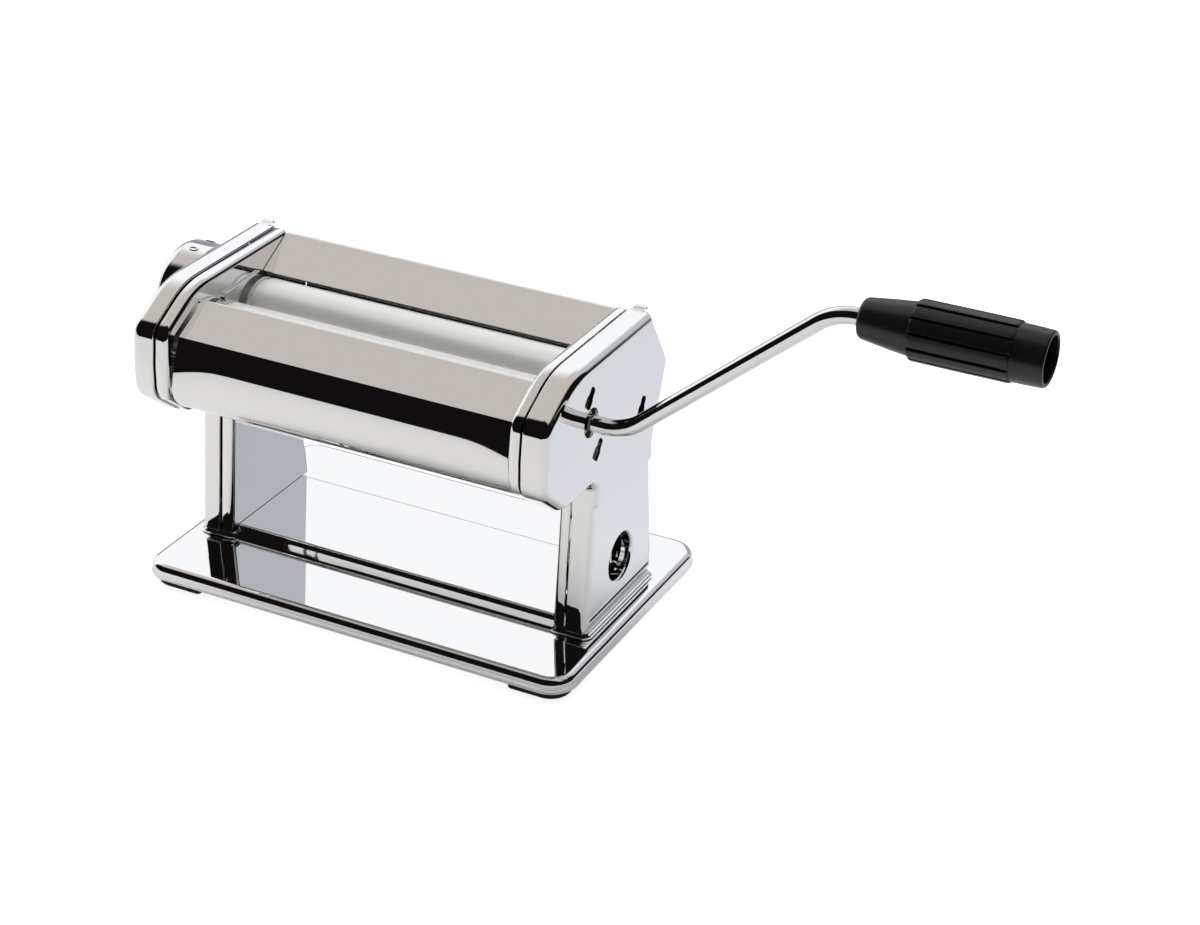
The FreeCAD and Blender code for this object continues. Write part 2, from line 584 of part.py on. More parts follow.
for word, side in SIDES:
    node = "outer_cover_" + word
    body = new_body(node + "_blank")
    outline = plane_sketch(body, "YZ_Plane", signed(side, "seam"))
    draw(outline, OUTLINE, OUTLINE_ROUNDS)
    pad(body, outline, "cover_out - seam", back=side < 0)
    step = plane_sketch(body, "XZ_Plane")
    draw(step, [(signed(side, "cover_out + spare"), "bevel_top"),
                (signed(side, "cover_out"), "bevel_top"),
                (signed(side, "leg_out"), "bevel_low"), (signed(side, "leg_out"), "spare"),
                (signed(side, "cover_out + spare"), "spare")])
    through(body, step)
    leg = number("leg_out")
    ease(body, lambda e: min(abs(e.BoundBox.XMin), abs(e.BoundBox.XMax)) > leg - 0.01
         and not (e.BoundBox.ZLength < 0.01 and e.BoundBox.YLength > number("chin_z") / 2
                  and number("clamp_z") < e.BoundBox.ZMin < number("leg_back_z")),
         "cover_edge")
    if side > 0:
        clamp = circle(plane_sketch(body, "YZ_Plane"), "0", "clamp_z", "clamp_r")
        through(body, clamp)
        ease(body, lambda e: abs(e.BoundBox.XMax - leg) < 0.01
             and abs(e.BoundBox.YLength - 2 * number("clamp_r")) < 0.01
             and e.BoundBox.XLength < 0.01, "clamp_mouth")
        openings = plane_sketch(body, "YZ_Plane")
        circle(openings, "drive_y", "axis_z", "crank_hole_r")
        through(body, openings)
        for slot in ("slot_a", "slot_b", "slot_c"):
            key = plane_sketch(body, "YZ_Plane")
            put(key, "AttachmentOffset.Base.x", slot + "_y")
            put(key, "AttachmentOffset.Base.y", slot + "_z")
            put(key, "AttachmentOffset.Rotation.Angle", slot + "_tilt")
            key_half = [("slot_wide / 2", "-slot_long / 2"),
                        ("slot_wide / 2", "-slot_neck"),
                        ("slot_narrow / 2", "slot_step"),
                        ("slot_narrow / 2", "slot_long / 2")]
            key_corners = key_half + [("-" + a, b) for a, b in key_half[::-1]]
            key_rounds = {i: "slot_round" for i in (0, 3, 4, 7)}
            key_rounds.update({i: "slot_small" for i in (1, 2, 5, 6)})
            draw(key, key_corners, key_rounds)
            through(body, key)
        core = solid_from(node + "_cavity", cover_inset, "seam - spare",
                          "cover_out - cover_sheet")
    else:
        openings = plane_sketch(body, "YZ_Plane")
        circle(openings, "adjust_y", "axis_z", "sleeve_r")
        through(body, openings)
        core = solid_from(node + "_cavity", cover_inset,
                          "-(cover_out - cover_sheet)", "-(seam - spare)")
    wedge_plan = draw(loose_sketch(node + "_wedge_plan", "XZ"),
                      [(signed(side, "cover_out + spare"), "bevel_top + bevel_lift"),
                       (signed(side, "cover_out - cover_sheet"), "bevel_top + bevel_lift"),
                       (signed(side, "leg_out - cover_sheet"), "bevel_low + bevel_lift"),
                       (signed(side, "leg_out - cover_sheet"), "spare"),
                       (signed(side, "cover_out + spare"), "spare")])
    wedge = doc.addObject("Part::Extrusion", node + "_wedge")
    wedge.Base = wedge_plan
    wedge.DirMode = "Custom"
    wedge.Dir = Vector(0, 1, 0)
    put(wedge, "LengthFwd", "base_half_y")
    put(wedge, "LengthRev", "base_half_y")
    wedge.Solid = True
    core = cut(node + "_core", core, wedge)
    if side > 0:
        collar = rod(node + "_collar", "clamp_r + cover_sheet",
                     "leg_out - clamp_deep", "leg_out", "0", "clamp_z")
        core = cut(node + "_room", core, collar)
    shell = cut(node + "_shell", body, core)
    lug_line = draw(loose_sketch(node + "_lug_line"),
                    [("crest_back - lug_root_y", "crest_z - lug_root_z"),
                     ("crest_back - lug_bend_y", "crest_z + lug_bend_z"),
                     ("crest_back + lug_crest_y", "crest_z + lug_crest_z"),
                     ("crest_back + lug_tip_y", "crest_z + lug_tip_z")],
                    {1: "lug_sheet", 2: "lug_sheet"}, closed=False)
    lug_band = doc.addObject("Part::Offset2D", node + "_lug_band")
    lug_band.Source = lug_line
    put(lug_band, "Value", "lug_sheet")
    lug_band.Mode = "Skin"
    lug_band.Join = 0
    lug_band.Fill = True
    if side > 0:
        lug = solid_from(node + "_lug", lug_band, "lug_in", "lug_out")
    else:
        lug = solid_from(node + "_lug", lug_band, "-lug_out", "-lug_in")
    finish(fuse(node, [shell, lug]), node)

# Bearing plates stand inside the housings on spacers. A round hole carries the
# bush of the driven roller, a window guides the sliding block of the other.

PLATE = [("plate_front", "plate_waist"), ("plate_front", "plate_shoulder"),
         ("plate_top_front", "plate_top"), ("plate_top_back", "plate_top"),
         ("plate_back", "plate_shoulder"), ("plate_back", "plate_waist"),
         ("plate_low_back", "plate_low"), ("plate_low_front", "plate_low")]
for word, side in SIDES:
    node = "bearing_plate_" + word
    body = new_body(node)
    outline = plane_sketch(body, "YZ_Plane", signed(side, "plate_in"))
    draw(outline, PLATE, all_round("round_neck", len(PLATE)))
    circle(outline, "drive_y", "axis_z", "bush_r")
    draw(outline, box_corners("idle_y - block_half_y - gap_travel - window_spare",
                              "idle_y + block_half_y + window_spare",
                              "axis_z - block_half_z - slide_play",
                              "axis_z + block_half_z + slide_play"))
    for rod_y, rod_z in RODS:
        circle(outline, rod_y, rod_z, "rod_end_r + run_play")
    pad(body, outline, "plate_out - plate_in", back=side < 0)
    finish(body, node)

for word, side in SIDES:
    node = "drive_bush_" + word
    inner = "drive_neck_r + run_play"
    turned(node, "drive_y", "axis_z",
           [(signed(side, "plate_in"), inner), (signed(side, "plate_in"), "bush_r"),
            (signed(side, "drive_neck_end"), "bush_r"),
            (signed(side, "drive_neck_end"), inner)])

# Four tie rods hold the two side frames apart; their thinner ends carry the
# spacers and the bearing plates and are closed with nuts.

for node, rod_y, rod_z in (("tie_rod_front", "rod_front_y", "rod_high_z"),
                           ("tie_rod_back", "rod_back_y", "rod_high_z"),
                           ("scraper_rod_front", "rod_low_front", "rod_low_z"),
                           ("scraper_rod_back", "rod_low_back", "rod_low_z")):
    turned(node, rod_y, rod_z,
           [("-rod_end", "0"), ("-rod_end", "rod_end_r"), ("-frame_in", "rod_end_r"),
            ("-frame_in", "rod_r"), ("frame_in", "rod_r"), ("frame_in", "rod_end_r"),
            ("rod_end", "rod_end_r"), ("rod_end", "0")])

spacers = []
nuts = []
for index, (rod_y, rod_z) in enumerate(RODS):
    for word, side in SIDES:
        tag = "%s%d" % (word, index)
        if side > 0:
            reach = ("frame_in + frame_sheet", "plate_in")
            grip = ("plate_out", "nut_out")
        else:
            reach = ("-plate_in", "-(frame_in + frame_sheet)")
            grip = ("-nut_out", "-plate_out")
        outer = rod("spacer_" + tag, "spacer_r", reach[0], reach[1], rod_y, rod_z)
        inner = rod("spacer_bore_" + tag, "rod_end_r", reach[0], reach[1], rod_y, rod_z)
        spacers.append(cut("spacer_tube_" + tag, outer, inner))
        outer = rod("nut_" + tag, "nut_r", grip[0], grip[1], rod_y, rod_z, True)
        inner = rod("nut_bore_" + tag, "rod_end_r", grip[0], grip[1], rod_y, rod_z)
        nuts.append(cut("nut_ring_" + tag, outer, inner))
finish(group("frame_spacers", spacers), "frame_spacers")
finish(group("tie_rod_nuts", nuts), "tie_rod_nuts")

# Screws through the base into the foot of each outer cover, with their nuts.

screws = []
foot_nuts = []
for sign_x in ("", "-"):
    for sign_y in ("", "-"):
        tag = "_%s%s" % ("l" if sign_x else "r", "f" if sign_y else "b")
        spot = (sign_x + "screw_x", sign_y + "screw_y")
        head = upright("screw_head" + tag, "screw_head_r",
                       "pad_top - base_sheet - screw_head_tall",
                       "pad_top - base_sheet", *spot)
        shank = upright("screw_shank" + tag, "screw_r", "pad_top - base_sheet",
                        "screw_end", *spot)
        screws.append(fuse("screw" + tag, [head, shank]))
        ring = upright("foot_nut" + tag, "screw_nut_r", "pad_top + cover_sheet",
                       "pad_top + cover_sheet + screw_nut_tall", *spot, hexagon=True)
        bore = upright("foot_nut_bore" + tag, "screw_r", "pad_top + cover_sheet",
                       "pad_top + cover_sheet + screw_nut_tall", *spot)
        foot_nuts.append(cut("foot_nut_ring" + tag, ring, bore))
finish(group("base_screws", screws), "base_screws")
finish(group("base_nuts", foot_nuts), "base_nuts")
sole_holes = {}
for word, side in SIDES:
    shell = [p for p in PIECES if p.Label == "outer_cover_" + word][0]
    bits = [upright("sole_hole_%s%d" % (word, i), "screw_r + screw_play", "rim_low",
                    "screw_end", signed(side, "screw_x"), sign_y + "screw_y")
            for i, sign_y in enumerate(("", "-"))]
    sole_holes[word] = group("sole_holes_" + word, bits)
    PIECES.remove(shell)
    shell.Label = shell.Label + "_undrilled"
    for prop in ("x", "y", "z"):
        shell.setExpression("Placement.Base." + prop, None)
    shell.Placement = Placement()
    finish(cut("outer_cover_drilled_" + word, shell, sole_holes[word]),
           "outer_cover_" + word)

# Bent sheets: the front cover runs over the driven roller and round the nose,
# the hopper plate slopes down to the rear roller and closes the back.


def bent_sheet(node, line, bends, inward):
    path = draw(loose_sketch(node + "_line"), line, bends, closed=False)
    band = doc.addObject("Part::Offset2D", node + "_band")
    band.Source = path
    put(band, "Value", "sheet" if inward else "-sheet")
    band.Mode = "Skin"
    band.Join = 0
    band.Fill = True
    doc.recompute()
    finish(solid_from(node + "_sheet", band, "-frame_in", "frame_in"), node)


bent_sheet("front_cover",
           [("lip_y", "lip_z"), ("brink_y", "brink_z"), ("nose_y", "nose_z"),
            ("bulge_y", "bulge_z"), ("bulge_y", "belly_z"), ("under_y", "under_z"),
            ("hem_y", "hem_z")],
           {1: "sheet_bend", 2: "sheet_bend", 3: "bulge_bend", 4: "belly_bend",
            5: "under_bend"}, False)
bent_sheet("hopper_plate",
           [("slope_low_y", "slope_low_z"), ("slope_top_y", "slope_top_z"),
            ("rear_y", "rear_z"), ("rear_low_y", "rear_low_z"),
            ("rear_hem_y", "rear_hem_z")],
           {1: "plate_bend", 2: "plate_bend", 3: "sheet_bend"}, True)

# End guides stand against the side frames above the roller ends and keep the
# dough on the rollers.

for word, side in SIDES:
    node = "end_guide_" + word
    body = new_body(node)
    plan = plane_sketch(body, "YZ_Plane", signed(side, "guide_in"))
    draw(plan, [("guide_front", "guide_low"), ("guide_front", "guide_brow"),
                ("guide_top_front", "guide_top"), ("guide_top_back", "guide_top"),
                ("guide_notch", "guide_shelf"), ("guide_back", "guide_shelf"),
                ("guide_back", "guide_low")],
         {i: "guide_round" for i in (0, 1, 5, 6)})
    neck_holes(plan, "wide_play")
    pad(body, plan, "frame_in - guide_in", back=side < 0)
    finish(body, node)

# Scrapers hang on the lower rods and lie close under each roller.

for node, rod_y, mirror in (("scraper_front", "rod_low_front", 1),
                            ("scraper_back", "rod_low_back", -1)):
    eye = rod(node + "_eye", "scraper_eye", "-scraper_half_x", "scraper_half_x",
              rod_y, "rod_low_z")
    blade_line = loose_sketch(node + "_blade_line")
    corners = [("-blade_half", "blade_root"), ("blade_half", "blade_root"),
               ("blade_far_y", "blade_far_z"), ("blade_near_y", "blade_near_z")]
    if mirror < 0:
        corners = [("-(%s)" % a, b) for a, b in corners]
    draw(blade_line, [("%s + %s" % (rod_y, a), "rod_low_z + %s" % b)
                      for a, b in corners])
    blade = solid_from(node + "_blade", blade_line, "-scraper_half_x",
                       "scraper_half_x")
    bore = rod(node + "_bore", "rod_r", "-scraper_half_x", "scraper_half_x",
               rod_y, "rod_low_z")
    finish(cut(node + "_piece", fuse(node + "_whole", [eye, blade]), bore), node)

# Driven roller: solid, with a neck in each bush. The right neck goes on as a
# tube that reaches the outer cover and takes the crank.

half = [("roller_end", "drive_neck_r"), ("roller_end", "roller_r"),
        ("ring_out", "roller_r"), ("ring_out", "roller_r - ring_deep"),
        ("ring_in", "roller_r - ring_deep"), ("ring_in", "roller_r")]
left_half = [("-" + x, r) for x, r in half]
front = turned("front_roller", "drive_y", "axis_z",
               [("-drive_neck_end", "0"), ("-drive_neck_end", "drive_neck_r")]
               + left_half + half[::-1]
               + [("drive_neck_end", "drive_neck_r"),
                  ("drive_neck_end", "drive_tube_r"),
                  ("drive_tube_end", "drive_tube_r"), ("drive_tube_end", "0")],
               finished=False)
mouth = circle(plane_sketch(front, "YZ_Plane", "drive_tube_end"), "0", "0", "socket_r")
pocket(front, mouth, "drive_tube_end - socket_round")
slot = plane_sketch(front, "YZ_Plane", "socket_round")
draw(slot, box_corners("-socket_half", "socket_half", "-socket_r", "socket_r"))
pocket(front, slot, "socket_round - socket_floor")
finish(front, "front_roller", "drive_y", "axis_z")

# Rear roller: a tube, so that the adjuster shaft can pass through it.

idle_half = [("roller_end", "idle_neck_r")] + half[1:]
idle_left = [("-" + x, r) for x, r in idle_half]
turned("rear_roller", "idle_y", "axis_z",
       [("-idle_neck_end", "idle_bore_r"), ("-idle_neck_end", "idle_neck_r")]
       + idle_left + idle_half[::-1]
       + [("idle_neck_end", "idle_neck_r"), ("idle_neck_end", "idle_bore_r")])

# A pair of equal gears with long thin teeth, so that they stay in mesh while
# the gap between the rollers changes.

for node, axis, bore, turn in (("drive_gear", "drive_y", "drive_neck_r", "0"),
                               ("idle_gear", "idle_y", "idle_neck_r",
                                "180 / gear_teeth")):
    gear = new_body(node)
    disc = plane_sketch(gear, "YZ_Plane", "gear_in")
    circle(disc, "0", "0", "gear_root_r")
    circle(disc, "0", "0", bore)
    pad(gear, disc, "gear_out - gear_in")
    tooth = plane_sketch(gear, "YZ_Plane", "gear_in")
    flank = [("gear_%s_r * cos(gear_%s_half)" % (w, w),
              "gear_%s_r * sin(gear_%s_half)" % (w, w)) for w in ("root", "mid", "tip")]
    inner = ("gear_root_r - tooth_sink", "gear_root_r * sin(gear_root_half)")
    upper = [inner] + flank
    draw(tooth, upper + [(a, "-" + b) for a, b in upper[::-1]])
    first_tooth = pad(gear, tooth, "gear_out - gear_in")
    ring = gear.newObject("PartDesign::PolarPattern", node + "_teeth")
    ring.Originals = [first_tooth]
    ring.Axis = (disc, ["N_Axis"])
    ring.Angle = 360
    put(ring, "Occurrences", "gear_teeth")
    gear.Tip = ring
    doc.recompute()
    finish(gear, node, axis, "axis_z")
    gear.Placement.Rotation = Rotation(Vector(1, 0, 0), number(turn))

# Bearing blocks slide in the windows of the bearing plates. Outside the plate
# each one widens to a yoke. Its front wall meets the inner layer of the cam
# and its back wall the outer layer; beside the other layer each wall is cut
# back so that only one layer touches it.

for word, side in SIDES:
    node = "bearing_block_" + word
    block = new_body(node)
    tongue = plane_sketch(block, "YZ_Plane", signed(side, "block_in"))
    draw(tongue, box_corners("idle_y - block_half_y", "idle_y + block_half_y",
                             "axis_z - block_half_z", "axis_z + block_half_z"))
    pad(block, tongue, "web_in - block_in", back=side < 0)
    front_wall = "adjust_y - cam_low_r - run_play"
    back_wall = "adjust_y + cam_low_r + gap_travel + run_play"
    yoke = plane_sketch(block, "YZ_Plane", signed(side, "web_in"))
    draw(yoke, box_corners(front_wall + " - yoke_wall", back_wall + " + yoke_wall",
                           "axis_z - yoke_half_z", "axis_z + yoke_half_z"),
         all_round("yoke_round"))
    pad(block, yoke, "yoke_out - web_in", back=side < 0)
    for low_y, high_y, low_x, high_x in (
            (front_wall, back_wall, "web_out", "yoke_out"),
            (front_wall, back_wall + " + yoke_relief", "web_out", "cam_mid + yoke_step"),
            (front_wall + " - yoke_relief", back_wall, "cam_mid - yoke_step",
             "yoke_out")):
        room = plane_sketch(block, "YZ_Plane", signed(side, low_x))
        draw(room, box_corners(low_y, high_y, "axis_z - yoke_inner_z",
                               "axis_z + yoke_inner_z"))
        pocket(block, room, "%s - (%s)" % (high_x, low_x), back=side > 0)
    bore = circle(plane_sketch(block, "YZ_Plane"), "idle_y", "axis_z",
                  "idle_neck_r + run_play")
    through(block, bore)
    finish(block, node)

# Adjuster shaft: thin, along X through the rear roller, milled to two flats
# where the knob slides on it.

shaft = turned("adjuster_shaft", "adjust_y", "axis_z",
               [("adjust_left", "0"), ("adjust_left", "adjust_r"),
                ("adjust_right", "adjust_r"), ("adjust_right", "0")], finished=False)
flats = plane_sketch(shaft, "YZ_Plane", "adjust_left")
for sign in ("", "-"):
    corners = box_corners("flat_half", "adjust_r + spare", "-adjust_r", "adjust_r")
    draw(flats, [(sign + "(%s)" % a, b) for a, b in corners])
pocket(shaft, flats, "-knob_in + flat_gap - adjust_left", back=True)
tap = circle(plane_sketch(shaft, "YZ_Plane", "adjust_left"), "0", "0", "cap_shank_r")
pocket(shaft, tap, "-cap_deep - adjust_left", back=True)
finish(shaft, "adjuster_shaft", "adjust_y", "axis_z")

# Cams. Each has two layers: the inner pushes the front wall of the yoke, the
# outer the back wall, so the block is moved both ways. The distance from the
# axis to a straight wall grows evenly with the turn of the knob.


def cam_reach(turn, growing):
    """Axis-to-wall distance and its slope, at a turn of the knob in radians."""
    low = number("cam_low_r")
    rise = number("gap_travel")
    full = math.radians(number("step_turn * step_count"))
    rate = rise / full
    if turn <= full:
        reach = low + rate * turn
        slope = rate
    else:
        back = 2 * math.pi - full
        t = (turn - full) / back
        reach = low + rise * (2 * t ** 3 - 3 * t ** 2 + 1)
        reach += back * rate * (2 * t ** 3 - 3 * t ** 2 + t)
        slope = rise * (6 * t ** 2 - 6 * t) / back + rate * (6 * t ** 2 - 6 * t + 1)
    if growing:
        return reach, slope
    return 2 * low + rise - reach, -slope


def cam_layer(growing, facing, low, high):
    spots = []
    count = 120
    for i in range(count):
        turn = 2 * math.pi * i / count
        reach, slope = cam_reach(turn, growing)
        angle = facing - turn
        along = Vector(0, math.cos(angle), math.sin(angle))
        across = Vector(0, -math.sin(angle), math.cos(angle))
        spots.append(along * reach - across * slope + Vector(low, 0, 0))
    curve = Part.BSplineCurve()
    curve.interpolate(Points=spots, PeriodicFlag=True)
    return Part.Face(Part.Wire(curve.toShape())).extrude(Vector(high - low, 0, 0))


for word, side in SIDES:
    near, middle, far = (side * number(n) for n in ("cam_in", "cam_mid", "cam_out"))
    solid = cam_layer(True, math.pi, near, middle)
    solid = solid.fuse(cam_layer(False, 0.0, middle, far))
    drill = Part.makeCylinder(number("adjust_r"), 2 * number("cam_out - cam_in"),
                              Vector(2 * near - middle, 0, 0), Vector(side, 0, 0))
    cam = doc.addObject("Part::Feature", "cam_" + word)
    cam.Shape = solid.cut(drill)
    finish(cam, "cam_" + word, "adjust_y", "axis_z")

# Bearings of the adjuster shaft: a cup inside the right cover and a sleeve
# through the left cover.

turned("shaft_cup_right", "adjust_y", "axis_z",
       [("cup_in", "adjust_r + run_play"), ("cup_in", "cup_r"),
        ("cover_out - cover_sheet", "cup_r"), ("cover_out - cover_sheet", "0"),
        ("adjust_right + slide_play", "0"),
        ("adjust_right + slide_play", "adjust_r + run_play")])
turned("shaft_sleeve_left", "adjust_y", "axis_z",
       [("-cup_in", "adjust_r + run_play"), ("-cup_in", "sleeve_r"),
        ("-sleeve_out", "sleeve_r"), ("-sleeve_out", "adjust_r + run_play")])

# Index ring on the left cover: a track for the knob's pin, closed at both
# ends, with a shallow seat for every setting.

ring = turned("index_ring", "adjust_y", "axis_z",
              [("-cover_out", "dial_bore_r"), ("-cover_out", "dial_r"),
               ("-dial_face", "dial_r"), ("-dial_face", "dial_bore_r")],
              finished=False)
track = draw(plane_sketch(ring, "XY_Plane"),
             box_corners("-dial_face - spare", "-track_floor", "track_r - track_half",
                         "track_r + track_half"))
sweep = ring.newObject("PartDesign::Groove", "index_track")
sweep.Profile = track
sweep.ReferenceAxis = (track, ["H_Axis"])
put(sweep, "Angle", "step_turn * step_count")
ring.Tip = sweep
doc.recompute()
for turn in ("0", "step_turn * step_count"):
    end = plane_sketch(ring, "YZ_Plane", "-dial_face")
    circle(end, "track_r * cos(%s)" % turn, "track_r * sin(%s)" % turn, "track_half")
    pocket(ring, end, "dial_face - track_floor", back=True)
seat = plane_sketch(ring, "YZ_Plane", "-dial_face")
circle(seat, "track_r", "0", "click_r")
first_seat = pocket(ring, seat, "dial_face - click_floor", back=True)
seats = ring.newObject("PartDesign::PolarPattern", "index_seats")
seats.Originals = [first_seat]
seats.Axis = (seat, ["N_Axis"])
put(seats, "Angle", "step_turn * step_count")
put(seats, "Occurrences", "step_count + 1")
ring.Tip = seats
doc.recompute()
finish(ring, "index_ring", "adjust_y", "axis_z")

# Knob: a drum with a hub, its pin, and the washer and cap that keep it on.

knob = turned("adjuster_knob", "adjust_y", "axis_z",
              [("-knob_in", "0"), ("-knob_in", "knob_hub_r"),
               ("-knob_out + knob_wall", "knob_hub_r"),
               ("-knob_out + knob_wall", "knob_r - knob_edge"),
               ("-knob_out + knob_edge", "knob_r - knob_wall"),
               ("-knob_in", "knob_r - knob_wall"), ("-knob_in", "knob_r"),
               ("-knob_out", "knob_r"), ("-knob_out", "recess_r"),
               ("-recess_floor", "recess_r"), ("-recess_floor", "0")], finished=False)
outer = number("knob_out")
ease(knob, lambda e: abs(e.BoundBox.XMin + outer) < 0.01 and e.BoundBox.XLength < 0.01
     and e.BoundBox.YLength > 2 * number("knob_r") - 0.1, "knob_edge")
way = plane_sketch(knob, "YZ_Plane", "-recess_floor")
draw(way, box_corners("-flat_half - run_play", "flat_half + run_play",
                      "-adjust_r - run_play", "adjust_r + run_play"))
through(knob, way)
finish(knob, "adjuster_knob", "adjust_y", "axis_z")

pin = turned("index_pin", "adjust_y", "axis_z",
             [("-knob_out + knob_wall", "0"), ("-knob_out + knob_wall", "pin_r"),
              ("-pin_tip", "pin_r"), ("-pin_tip", "0")], finished=False)
tip = number("pin_tip")
ease(pin, lambda e: abs(e.BoundBox.XMax + tip) < 0.01 and e.BoundBox.XLength < 0.01,
     "pin_round")
finish(pin, "index_pin", "adjust_y + track_r", "axis_z")

turned("knob_washer", "adjust_y", "axis_z",
       [("adjust_left", "cap_shank_r"), ("adjust_left", "washer_r"),
        ("-washer_out", "washer_r"), ("-washer_out", "cap_shank_r")])
turned("knob_screw", "adjust_y", "axis_z",
       [("-cap_out", "0"), ("-cap_out", "cap_r"), ("-washer_out", "cap_r"),
        ("-washer_out", "cap_shank_r"), ("-cap_end", "cap_shank_r"),
        ("-cap_end", "0")])

# Crank: one bent bar with a flattened tip, and a hollow grip that turns on it.

crank = new_body("crank_bar")
path = plane_sketch(crank, "XZ_Plane")
draw(path, [("bar_tip", "0"), ("bend_one", "0"), ("bend_two", "crank_throw"),
            ("bar_end", "crank_throw")], {1: "bar_bend", 2: "bar_bend"}, closed=False)
section = circle(plane_sketch(crank, "YZ_Plane", "bar_tip"), "0", "0", "bar_r")
bar = crank.newObject("PartDesign::AdditivePipe", "crank_sweep")
bar.Profile = section
bar.Spine = path
doc.recompute()
flats = plane_sketch(crank, "YZ_Plane", "bar_tip")
for sign in ("", "-"):
    corners = box_corners("bar_flat", "bar_r + spare", "-bar_r - spare",
                          "bar_r + spare")
    draw(flats, [(sign + "(%s)" % a, b) for a, b in corners])
pocket(crank, flats, "bar_shoulder - bar_tip", back=True)
finish(crank, "crank_bar", "drive_y", "axis_z")

grip = turned("crank_grip", "drive_y", "axis_z + crank_throw",
              [("grip_near", "bar_r + grip_play"), ("grip_near", "grip_start_r"),
               ("grip_near + grip_lip", "grip_neck_r"),
               ("grip_near + grip_cone", "grip_cone_r"),
               ("land_near", "grip_shoulder_r"),
               ("land_near + land_rise", "grip_land_r"),
               ("land_far - land_rise", "grip_land_r"), ("land_far", "grip_tail_r"),
               ("grip_far - grip_rim", "grip_rim_r"),
               ("grip_far", "grip_rim_r - grip_rim_edge"),
               ("grip_far", "grip_mouth_r"), ("grip_seat", "grip_mouth_r"),
               ("grip_seat", "bar_r + grip_play")], finished=False)
groove = plane_sketch(grip, "YZ_Plane", "land_near - spare")
draw(groove, box_corners("-land_gap / 2", "land_gap / 2",
                         "grip_land_r - land_deep", "grip_land_r + spare"))
first_groove = pocket(grip, groove, "land_far - land_near + land_runout", back=True)
lands = grip.newObject("PartDesign::PolarPattern", "grip_lands")
lands.Originals = [first_groove]
lands.Axis = (groove, ["N_Axis"])
lands.Angle = 360
put(lands, "Occurrences", "land_count")
grip.Tip = lands
doc.recompute()
finish(grip, "crank_grip", "drive_y", "axis_z + crank_throw")
turned("grip_clip", "drive_y", "axis_z + crank_throw",
       [("clip_in", "bar_r"), ("clip_in", "clip_r"), ("clip_out", "clip_r"),
        ("clip_out", "bar_r")])

# Check every piece and write it.

doc.recompute()
os.makedirs("parts", exist_ok=True)
for piece in PIECES:
    shape = piece.Shape
    if "Invalid" in piece.State or shape.isNull() or not shape.isValid():
        raise RuntimeError("%s is not sound: %s" % (piece.Label, piece.State))
    for solid in shape.Solids:
        if solid.Volume < 1:
            raise RuntimeError("%s has an empty solid" % piece.Label)
    shape.exportStep("parts/%s.step" % piece.Label)
    print(piece.Label, len(shape.Solids), round(shape.Volume, 1))
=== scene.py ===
import math

import bmesh
import bpy
from mathutils import Matrix, Vector


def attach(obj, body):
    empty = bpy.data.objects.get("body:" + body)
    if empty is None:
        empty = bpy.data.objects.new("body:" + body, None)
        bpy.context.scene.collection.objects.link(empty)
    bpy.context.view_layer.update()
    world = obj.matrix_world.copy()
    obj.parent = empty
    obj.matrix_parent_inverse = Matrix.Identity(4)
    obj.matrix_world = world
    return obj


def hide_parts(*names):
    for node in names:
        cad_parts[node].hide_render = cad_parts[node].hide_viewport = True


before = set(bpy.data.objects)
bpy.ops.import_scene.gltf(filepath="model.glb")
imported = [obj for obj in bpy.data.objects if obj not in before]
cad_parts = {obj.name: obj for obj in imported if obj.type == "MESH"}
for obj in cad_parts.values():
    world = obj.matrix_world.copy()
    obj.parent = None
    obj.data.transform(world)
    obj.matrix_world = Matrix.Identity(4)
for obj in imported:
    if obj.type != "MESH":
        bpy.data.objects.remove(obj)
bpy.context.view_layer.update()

# Base plate. One sheet of steel, pressed into a shallow tray that lies upside
# down, then polished and chrome plated. The legs stand on two low pads, and the
# stage between them falls in a long sloped step to the deck and its rolled rim.

MM = 0.001
MIDDLE = Vector((-81.25, 3.0, 0.0))


def spot(x, y, z):
    """A point given in millimetres from the middle of the base."""
    return (Vector((x, y, z)) + MIDDLE) * MM


def swung(arm, angle):
    """A flat vector turned by an angle."""
    return Vector((arm.x * math.cos(angle) - arm.y * math.sin(angle),
                   arm.x * math.sin(angle) + arm.y * math.cos(angle)))


def arc(steps, low=0.0, high=90.0, first=1):
    """Sines and cosines at even steps between two angles, given in degrees."""
    angles = [math.radians(low + (high - low) * k / steps) for k in range(first, steps + 1)]
    return [(math.sin(angle), math.cos(angle)) for angle in angles]


def rounded_ring(corners, rounds, inset=0.0, steps=8):
    """A closed outline with rounded corners, moved inwards by inset."""
    count = len(corners)
    area = sum(corners[i][0] * corners[(i + 1) % count][1]
               - corners[(i + 1) % count][0] * corners[i][1] for i in range(count))
    way = 1.0 if area > 0 else -1.0
    points = []
    for i in range(count):
        before, here, after = (Vector(corners[(i + k) % count]) for k in (-1, 0, 1))
        arriving = (here - before).normalized()
        leaving = (after - here).normalized()
        in_one = Vector((-arriving.y, arriving.x)) * way
        in_two = Vector((-leaving.y, leaving.x)) * way
        corner = here + (in_one + in_two) * (inset / (1.0 + in_one.dot(in_two)))
        convex = arriving.cross(leaving) * way > 0
        radius = max(rounds[i] + (-inset if convex else inset), 0.05)
        turn = math.acos(max(-1.0, min(1.0, arriving.dot(leaving))))
        reach = radius * math.tan(turn / 2)
        side = in_one if convex else -in_one
        sense = way if convex else -way
        centre = corner - arriving * reach + side * radius
        points += [centre + swung(-side * radius, sense * turn * k / steps)
                   for k in range(steps + 1)]
    return points


